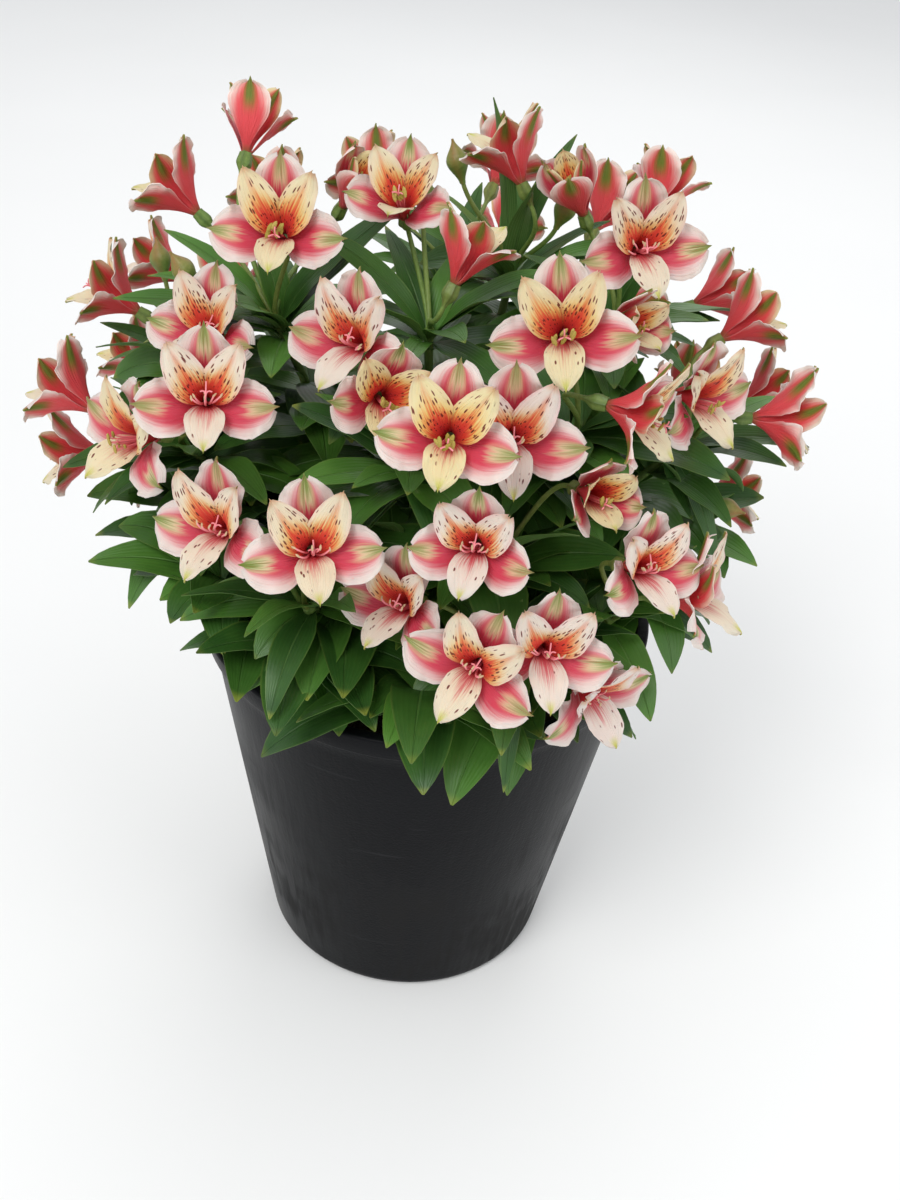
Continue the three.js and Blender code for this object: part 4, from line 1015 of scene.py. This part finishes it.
for stem, piece, draw in umbel_pieces(STALK_SEED):
    foot = stem["curve"][3]
    crown = swelling(np.linspace(0, 1, CROWN_ROWS), STEM_TIP_RADIUS, CROWN_RADIUS, 1.2, 0.5)
    top = foot + stem["end"] * (CROWN_LENGTH + NODE_GAP)
    piece.add(*sleeve(ribbed(foot, top, crown, CROWN_SIDES, 4, 0.04, np.array([1.0, 0, 0]))))
    for ray in stem["rays"] + stem["bud_rays"]:
        rings = bar(ray, RAY_STEPS, RAY_RADII, RAY_SIDES)
        piece.add(*sleeve(rings), marks=(0, draw(0, 0.5), 0))
    for bloom in stem["blooms"]:
        start = bloom["foot"] - bloom["axis"] * (OVARY_LENGTH + 0.4)
        end = bloom["foot"] + bloom["axis"] * 0.8
        case = swelling(np.linspace(0, 1, CASE_ROWS), RAY_RADII[1], CASE_RADIUS, CASE_RIM, 0.55)
        rings = ribbed(start, end, case, CASE_SIDES, CASE_RIBS, 0.1, bloom["up"])
        ridge = (1 + np.cos(np.arange(CASE_SIDES) * 2 * np.pi * CASE_RIBS / CASE_SIDES)) / 2
        ridge = np.concatenate([np.tile(ridge, CASE_ROWS), [0, 0]])
        marks = np.stack([ridge, np.full(len(ridge), draw(0, 0.6)), 0 * ridge], -1)
        piece.add(*sleeve(rings), marks=marks)
    for ray in stem["bud_rays"]:
        along = cubic_direction(ray, 1)
        shares = 1 - np.linspace(1, 0, BUD_ROWS) ** 1.3
        spindle = swelling(shares, 1.2, BUD_RADIUS, 0.5, 0.52)
        rings = ribbed(ray[3] - along, ray[3] + along * BUD_LENGTH, spindle, BUD_SIDES, BUD_SEAMS,
                       0.05, np.array([0.2, 1.0, 0.1]))
        seams = np.abs(np.sin(np.arange(BUD_SIDES) * np.pi * BUD_SEAMS / BUD_SIDES)) ** 3
        marks = np.zeros((BUD_ROWS, BUD_SIDES, 3))
        marks[..., 1] = seams
        marks[..., 2] = (smooth_step(shares, 0.35, 0.95) * draw(0.4, 1))[:, None]
        marks = np.concatenate([marks.reshape(-1, 3), [(0, 0, 0), (0, 0.5, 1)]])
        piece.add(*sleeve(rings), marks=marks)
    piece.write("stalks_" + stem["name"], "stalk", [stalk_skin], ["umbel_" + stem["name"]])

# The tepals, three broad outer ones and three narrow inner ones to a bloom. Each is a
# thin blade with a frilled edge, grown to the seed case's rim. The outer ones are rose
# with white shoulders and a green tip, the inner ones cream, flecked, with a red throat.
OUTER_GRID = (28, 15)
INNER_GRID = (22, 11)
LOWER_ROWS = 0.45
TEPAL_THICKNESS = 0.5
EDGE_THICKNESS = 0.22
KEEL_HEIGHT = 0.7
FRILL = {"outer": 1.2, "inner": 0.6}
GROOVE = 0.5
FULLER = {"outer": 0.03, "inner": 0.1}
TOOTH = {"outer": 0.022, "inner": 0.012}
BLUNT = {"outer": 0.18, "inner": 0.14}
MUCRO = {"outer": 1.2, "inner": 0.9}
NOTCH = {"outer": 1.0, "inner": 0}

PETAL_SEED = 1201

# A tepal that the next bloom presses back: its stem, bloom and number, then its midrib.
PRESSED = ("lower_right", 1, 4)
PRESSED_MIDRIB = [(1, 2), (10, 6), (14, 13), (8, 24)]

WHITE = tint(223, 208, 198)
CREAM = tint(222, 205, 152)
ROSE = tint(198, 50, 74)
CORAL = tint(188, 38, 50)
FLAME = tint(212, 66, 48)
YELLOW = tint(225, 185, 88)
GREEN = tint(106, 132, 48)
HALO = tint(222, 212, 168)
FLECK = tint(100, 26, 24)


class Tepal(Finish):
    """A tepal's finish: where a point lies on it, its marks, and the wander of its veins, a
    noise from -0.5 to 0.5 that is drawn out from the claw to the tip."""

    def __init__(self, name):
        super().__init__(name, Specular_IOR_Level=0.3, Subsurface_Weight=0.3,
                         Subsurface_Scale=0.002, Subsurface_Radius=(1, 0.6, 0.5))
        self.across, self.along = self.on_surface()
        self.back, self.tone, self.age = self.marks()
        self.spread = abs(self.across * 2.0 - 1.0)
        place = self.vector(self.across * 30.0, self.along * 2.4, self.tone * 53.0)
        self.veins = self.noise(place, 1.0, 4.0)
        self.wander = self.veins - 0.5
        self.pale = self.mix(self.age, CREAM, WHITE)

    def flecks(self, spots, inner, outer, least, extra=0.0):
        """Long dots, one to a cell of the spots, between two radii at its edge. A cell has
        one where its own random value with the extra one passes the least."""
        across, along, seed = spots
        cells = self.vector(self.across * across, self.along * along, self.tone * seed)
        value = self.parts(self.cells(cells, "Color"))[0] + extra
        return self.cells(cells).falls(inner, outer) * value.rises(least, least + 0.02)

    def finished(self, front, pale, depth):
        """The front's colour, then the back's: coral up to a paler end and shoulders, with
        fine veins, and a broad green keel within a brown one towards the tip."""
        spread, along, veins = self.spread, self.along, self.veins
        flush = (spread + along * 1.05 + self.wander * 0.45).falls(1.1, 1.9)
        keel = spread + self.wander * 0.3
        rear = self.coats(
            pale,
            (flush, tint(226, 80, 86)),
            (along.falls(0.15, 0.7) * 0.5, tint(210, 56, 56)),
            (veins.rises(0.52, 0.75) * flush * 0.35, tint(184, 44, 58)),
            (keel.falls(0.2, 0.5) * along.rises(0.46, 0.74) * 0.75, tint(164, 104, 56)),
            (keel.falls(0.1, 0.36) * along.rises(0.56, 0.8) * 0.9, tint(98, 126, 44)),
            (along.falls(0.02, 0.14) * 0.7, tint(140, 96, 52)))
        return self.paint(self.mix(self.back, front, rear), 0.42 + veins * 0.14, veins, depth)


outer = Tepal("outer_tepal")
spread, along, tone, age, wander = outer.spread, outer.along, outer.tone, outer.age, outer.wander
flush = (spread + along * 0.7 + wander * 0.3).falls(0.8, 1.6)
rosy = (spread + along * 0.95 + wander * 0.5 + (tone - 0.5) * 0.25).falls(0.9, 1.55)
beside = (spread + wander * 0.2).rises(0.1, 0.3) * (spread + along * 0.4).falls(0.55, 0.9)
halo = (along + wander * 0.4).rises(0.62, 0.8) * (spread + wander * 0.3).falls(0.14, 0.4)
blotch = (along + wander * 0.6).rises(0.68, 0.96) * (spread + wander * 0.4).falls(0.1, 0.38)
front = outer.coats(
    WHITE,
    (flush * 0.45, tint(224, 134, 146)),
    (rosy * 0.95, ROSE),
    (along.falls(0.15, 0.6) * spread.falls(0.5, 1.1) * 0.85, CORAL),
    (beside * along.rises(0.5, 0.7) * (1.0 - age * 0.4) * 0.9, ROSE),
    (halo * (0.6 + tone * 0.3), HALO),
    (blotch * (0.7 + tone * 0.3), GREEN),
    (outer.veins.rises(0.5, 0.7) * (0.06 + rosy * 0.3), tint(186, 48, 76)))
shoulders = outer.mix(age, tint(250, 222, 210), tint(248, 234, 224))
outer_tepal = outer.finished(front, shoulders, 0.0006)

upper = Tepal("upper_tepal")
spread, along, age, wander = upper.spread, upper.along, upper.age, upper.wander
# A rosy-tan band down the midline of the upper half is painted shade, that of the groove along the
# midrib.
painted_groove_shade = (spread + wander * 0.3).falls(0.02, 0.3) * along.rises(0.5, 0.7) * along.falls(0.86, 0.98)
long_flecks = upper.flecks((12.5, 8.0, 41.0), 0.22, 0.32, 0.16, along.falls(0.6, 0.9) * 0.4)
long_flecks = long_flecks * along.rises(0.5, 0.56) * along.falls(0.88, 0.94)
long_flecks = long_flecks * spread.falls(0.9, 0.96)
small_flecks = upper.flecks((14.0, 13.0, 67.0), 0.2, 0.28, 0.2)
small_flecks = small_flecks * along.rises(0.32, 0.38) * along.falls(0.58, 0.66)
front = upper.coats(
    upper.pale,
    (painted_groove_shade * (0.4 + age * 0.3), tint(212, 142, 120)),
    ((along + spread * 0.2 + age * 0.06 + wander * 0.2).falls(0.68, 0.98) * 0.9, YELLOW),
    ((along + spread * 0.3 + wander * 0.6).falls(0.58, 0.9), FLAME),
    ((along + spread * 0.3).falls(0.24, 0.64) * 0.85, tint(186, 40, 52)),
    (spread.rises(0.7, 1.0) * along.rises(0.3, 0.6) * (0.1 + age * 0.2), tint(230, 150, 158)),
    (long_flecks.math("MAXIMUM", small_flecks) * 0.95, FLECK),
    (along.rises(0.94, 1.0) * 0.7, tint(214, 160, 120)))
upper_tepal = upper.finished(front, upper.pale, 0.0005)

lower = Tepal("lower_tepal")
spread, along, wander = lower.spread, lower.along, lower.wander
flecks = lower.flecks((8.0, 7.5, 29.0), 0.18, 0.26, 0.2)
flecks = flecks * along.rises(0.5, 0.56) * along.falls(0.84, 0.9) * spread.rises(0.25, 0.4)
front = lower.coats(
    lower.pale,
    ((along + spread * 0.3 + wander * 0.9).falls(0.4, 0.8) * 0.85, ROSE),
    ((along + wander * 0.3).falls(0.2, 0.55) * 0.9, CORAL),
    (flecks * spread.falls(0.88, 0.95) * 0.95, FLECK),
    (along.rises(0.86, 0.99) * spread.falls(0.1, 0.6), tint(196, 196, 96)))
lower_tepal = lower.finished(front, lower.pale, 0.0005)


def bell(x, width):
    """1 at 0 and less on both sides: e to the power of minus (x / width) squared."""
    return np.exp(-((x / width) ** 2))


def tepal_blade(bloom, tepal, draw):
    """A tepal as a closed blade, with its shares along and across. Its sheet is the plain
    one with a fuller end: 1 less the way to the tip to the power 2.3, all to the power 0.62.
    The margin frills as a sine along it and is cut into small teeth, and the end runs out
    into a short point between two shallow notches."""
    whorl = tepal[0]
    count, width = OUTER_GRID if whorl == "outer" else INNER_GRID
    widest = WIDEST[whorl]
    lower = np.linspace(0, widest, int(count * LOWER_ROWS), endpoint=False)
    upper = widest + (1 - widest) * np.sin(np.linspace(0, 1, count - len(lower)) * np.pi / 2)
    s, t = np.meshgrid(np.concatenate([lower, upper]), np.linspace(-1, 1, width), indexing="ij")
    ending = np.clip((s - widest) / (1 - widest), 0, 1)
    full_end = np.where(s < widest, 0, np.maximum(BLUNT[whorl], (1 - ending**2.3) ** 0.62))
    points, inward, along = tepal_surface(bloom, tepal, s, t, full_end)
    middle = points[:, width // 2][:, None]
    edge = smooth_step(np.abs(t), 0.45, 1)
    grown = smooth_step(s, 0.25, 0.75)
    side = t > 0
    cuts = np.array([(draw(-1, 1), draw(-1, 1)) for _ in range(count)])[:, side[0].astype(int)]
    full = 1 + FULLER[whorl] * smooth_step(s, 0.2, 0.6) + TOOTH[whorl] * grown * edge * cuts
    points = middle + (points - middle) * full[..., None]
    phases = np.where(side, draw(0, 6.3), draw(0, 6.3))
    pitch = np.where(side, draw(15, 22), draw(15, 22))
    height = FRILL[whorl] * edge * grown * min(bloom["open"], 1) ** 2
    frill = height * (np.sin(s * pitch + phases) + 0.4 * np.sin(s * pitch * 2.3 + phases * 1.7))
    curl = draw(-1.2, 2.2) * edge * smooth_step(s, 0.5, 1)
    point = MUCRO[whorl] * bell(t, 0.2) - NOTCH[whorl] * bell(np.abs(t) - 0.5, 0.3)
    point = point * smooth_step(s, 0.9, 1)
    groove = GROOVE * bell(t, 0.16) * grown
    points = points + inward * (frill - curl - groove)[..., None] + along * point[..., None]
    thickness = mix(EDGE_THICKNESS, TEPAL_THICKNESS, 1 - np.abs(t) ** 2)
    keel = KEEL_HEIGHT * bell(t, 0.13) * smooth_step(s, 0.4, 0.7)
    return blade(points, inward, thickness, thickness + keel), s, t


for stem, piece, draw in umbel_pieces(PETAL_SEED):
    for order, bloom in enumerate(stem["blooms"]):
        for number, tepal in enumerate(TEPALS):
            if (stem["name"], order, number) == PRESSED:
                tepal = (*tepal[:4], PRESSED_MIDRIB)
            surface, s, t = tepal_blade(bloom, tepal, draw)
            uv = np.tile(np.stack([(t + 1) / 2, s], -1).reshape(-1, 2), (2, 1))
            marks = np.empty((len(uv), 3))
            marks[:, 0] = np.repeat([0, 1], s.size)
            marks[:, 1] = draw()
            marks[:, 2] = bloom["age"]
            kind = 0 if tepal[0] == "outer" else 2 if number == 3 else 1
            piece.add(*surface, kind=kind, uv=uv, marks=marks)
    finishes = [outer_tepal, upper_tepal, lower_tepal]
    piece.write("petals_" + stem["name"], "petal", finishes, ["umbel_" + stem["name"]])

# The stamens of each bloom: six pink filaments that leave the throat along its lower
# side, each with an olive anther, and the style between them with a three-armed end. In
# an older bloom the anthers are spent and small, and the filaments curl back.
FILAMENTS = 6
FILAMENT_RADII = (0.456, 0.304)
FILAMENT_STEPS = 12
FILAMENT_SIDES = 6
ARMS = 3
ARM_TURN = 2.1
ARM_RADII = (0.3, 0.3)
ANTHER_LENGTH = 4.2
ANTHER_RADIUS = 0.68
ANTHER_ROWS = 8
ANTHER_SIDES = 10
SPENT_SIZE = 0.5
SPENT_AGE = 0.5
STAMEN_SEED = 1501

filament_finish = Finish("filament", Specular_IOR_Level=0.4)
tip, tone, age = filament_finish.marks()
fine = filament_finish.noise(filament_finish.place(), 500.0, 2.0)
shade = filament_finish.mix(tip, tint(214, 62, 74), tint(236, 150, 156))
filament_skin = filament_finish.paint(shade, 0.4 + fine * 0.1, fine, 0.0002)

anther_finish = Finish("anther", Specular_IOR_Level=0.2)
tip, tone, age = anther_finish.marks()
grain = anther_finish.noise(anther_finish.place(), 1800.0, 3.0)
shade = anther_finish.coats(tint(168, 152, 66), (tone, tint(200, 178, 100)),
                            (age, tint(214, 186, 150)), (grain * 0.4, tint(124, 104, 44)))
anther_skin = anther_finish.paint(shade, 0.75 + grain * 0.2, grain, 0.0005)

for stem, piece, draw in umbel_pieces(STAMEN_SEED):
    for bloom in stem["blooms"]:
        reach = min(bloom["open"], 1)
        spent = bloom["age"] > SPENT_AGE
        for filament in range(FILAMENTS + 1):
            style = filament == FILAMENTS
            turn = math.radians(filament * 360 / FILAMENTS)
            aside = 0.1 if style else math.sin(turn)
            below = 0.5 if style else 0.6 + 0.5 * math.cos(turn)
            length = draw(21, 27) * mix(0.8, 1, reach)
            sag = draw(0.6, 3.2) * reach + below
            sway = aside * draw(1.6, 4.6) * reach
            path = [(1, aside * 0.7, -below * 0.7), (9, aside * 1.2, -below - 0.6),
                    (17, sway * 0.6, -sag), (length, sway, -sag + draw(-0.4, 1.8) * reach)]
            if spent:
                path[2] = (length * 0.82, sway * 0.8, -sag)
                path[3] = (length * 0.8, sway * 2.0, -sag + draw(2.2, 4.6))
            local = np.array([bloom["axis"], bloom["right"], bloom["up"]])
            curve = bloom["foot"] + BLOOM_SIZE * np.array(path) @ local
            marks = np.zeros((FILAMENT_STEPS, FILAMENT_SIDES, 3))
            marks[..., 0] = np.linspace(0, 1, FILAMENT_STEPS)[:, None]
            marks = np.concatenate([marks.reshape(-1, 3), [(0, 0, 0), (1, 0, 0)]])
            rings = bar(curve, FILAMENT_STEPS, FILAMENT_RADII, FILAMENT_SIDES)
            piece.add(*sleeve(rings), marks=marks)
            end, way = curve[3], cubic_direction(curve, 1)
            if style:
                for arm in range(ARMS):
                    turn = arm * ARM_TURN
                    out = bloom["up"] * math.cos(turn) + bloom["right"] * math.sin(turn)
                    fork = end + way * 2
                    arm_curve = np.array([end - way, end + way, fork + out, fork + out * 2.4])
                    piece.add(*sleeve(bar(arm_curve, 5, ARM_RADII, 5)), marks=(0.8, 0, 0))
                continue
            size = SPENT_SIZE if spent else 1
            lean = bloom["up"] * draw(0.3, 1) + bloom["right"] * draw(-0.7, 0.7)
            lengthwise = unit(way * 0.5 + lean)
            oval = np.linspace(0, 1, ANTHER_ROWS)
            radius = ANTHER_RADIUS * size * np.sqrt(np.clip(1 - (2 * oval - 1) ** 2, 0.02, 1))
            start = end - lengthwise * ANTHER_LENGTH * size * 0.45
            rings = ribbed(start, start + lengthwise * ANTHER_LENGTH * size,
                           np.stack([oval, radius], -1), ANTHER_SIDES, 2, 0.18, bloom["right"])
            piece.add(*sleeve(rings), kind=1, marks=(1, draw(), 1 if spent else 0))
    piece.write("stamens_" + stem["name"], "stamen", [filament_skin, anther_skin])

# The studio, which isn't part of the plant: a pale floor, a large soft lamp above and in
# front, weaker ones on the right and behind, an even pale surround, and the camera.
CAMERA_PLACE = (0.0109, -0.5241, 0.5684)
CAMERA_DOWN = 35.9
CAMERA_ROLL = 4.95
CAMERA_LENS = 42
CAMERA_SENSOR = 36
LAMPS_FACE = Vector((0, 0, 0.24))
LAMPS = [("key_lamp", (-0.6, -1.2, 1.7), 0.9, 19), ("fill_lamp", (1.3, -0.7, 0.9), 1.2, 5),
         ("rim_lamp", (0.2, 1.4, 1.3), 1.2, 6)]
SURROUND = 0.8
FLOOR_SIZE = 8

floor_mesh = bpy.data.meshes.new("studio_floor")
edge = FLOOR_SIZE / 2
corners = [(-edge, -edge, 0), (edge, -edge, 0), (edge, edge, 0), (-edge, edge, 0)]
floor_mesh.from_pydata(corners, [], [(0, 1, 2, 3)])
floor_object = bpy.data.objects.new("studio_floor", floor_mesh)
bpy.context.scene.collection.objects.link(floor_object)
card = Finish("studio_card", Specular_IOR_Level=0.1)
paper = card.noise(card.place(), 3.0, 2.0)
shade = card.mix(paper, tint(238, 238, 236), tint(243, 243, 241))
floor_mesh.materials.append(card.paint(shade, 0.9 + paper * 0.05))

world = bpy.data.worlds.new("studio_surround")
world.use_nodes = True
surround = world.node_tree.nodes["Background"].inputs
surround["Color"].default_value = tint(246, 248, 252)
surround["Strength"].default_value = SURROUND
bpy.context.scene.world = world

for name, spot, size, power in LAMPS:
    lamp = bpy.data.lights.new(name, "AREA")
    lamp.shape = "DISK"
    lamp.size = size
    lamp.energy = power
    lamp_object = bpy.data.objects.new(name, lamp)
    bpy.context.scene.collection.objects.link(lamp_object)
    lamp_object.location = spot
    aim = (LAMPS_FACE - Vector(spot)).to_track_quat("-Z", "Y")
    lamp_object.rotation_euler = aim.to_euler()

camera = bpy.data.cameras.new("camera")
camera.lens = CAMERA_LENS
camera.sensor_width = CAMERA_SENSOR
camera.clip_end = 100
camera_object = bpy.data.objects.new("camera", camera)
bpy.context.scene.collection.objects.link(camera_object)
looks = Matrix.Rotation(math.radians(90 - CAMERA_DOWN), 4, "X")
looks = looks @ Matrix.Rotation(math.radians(CAMERA_ROLL), 4, "Z")
camera_object.matrix_world = Matrix.Translation(CAMERA_PLACE) @ looks
bpy.context.scene.camera = camera_object
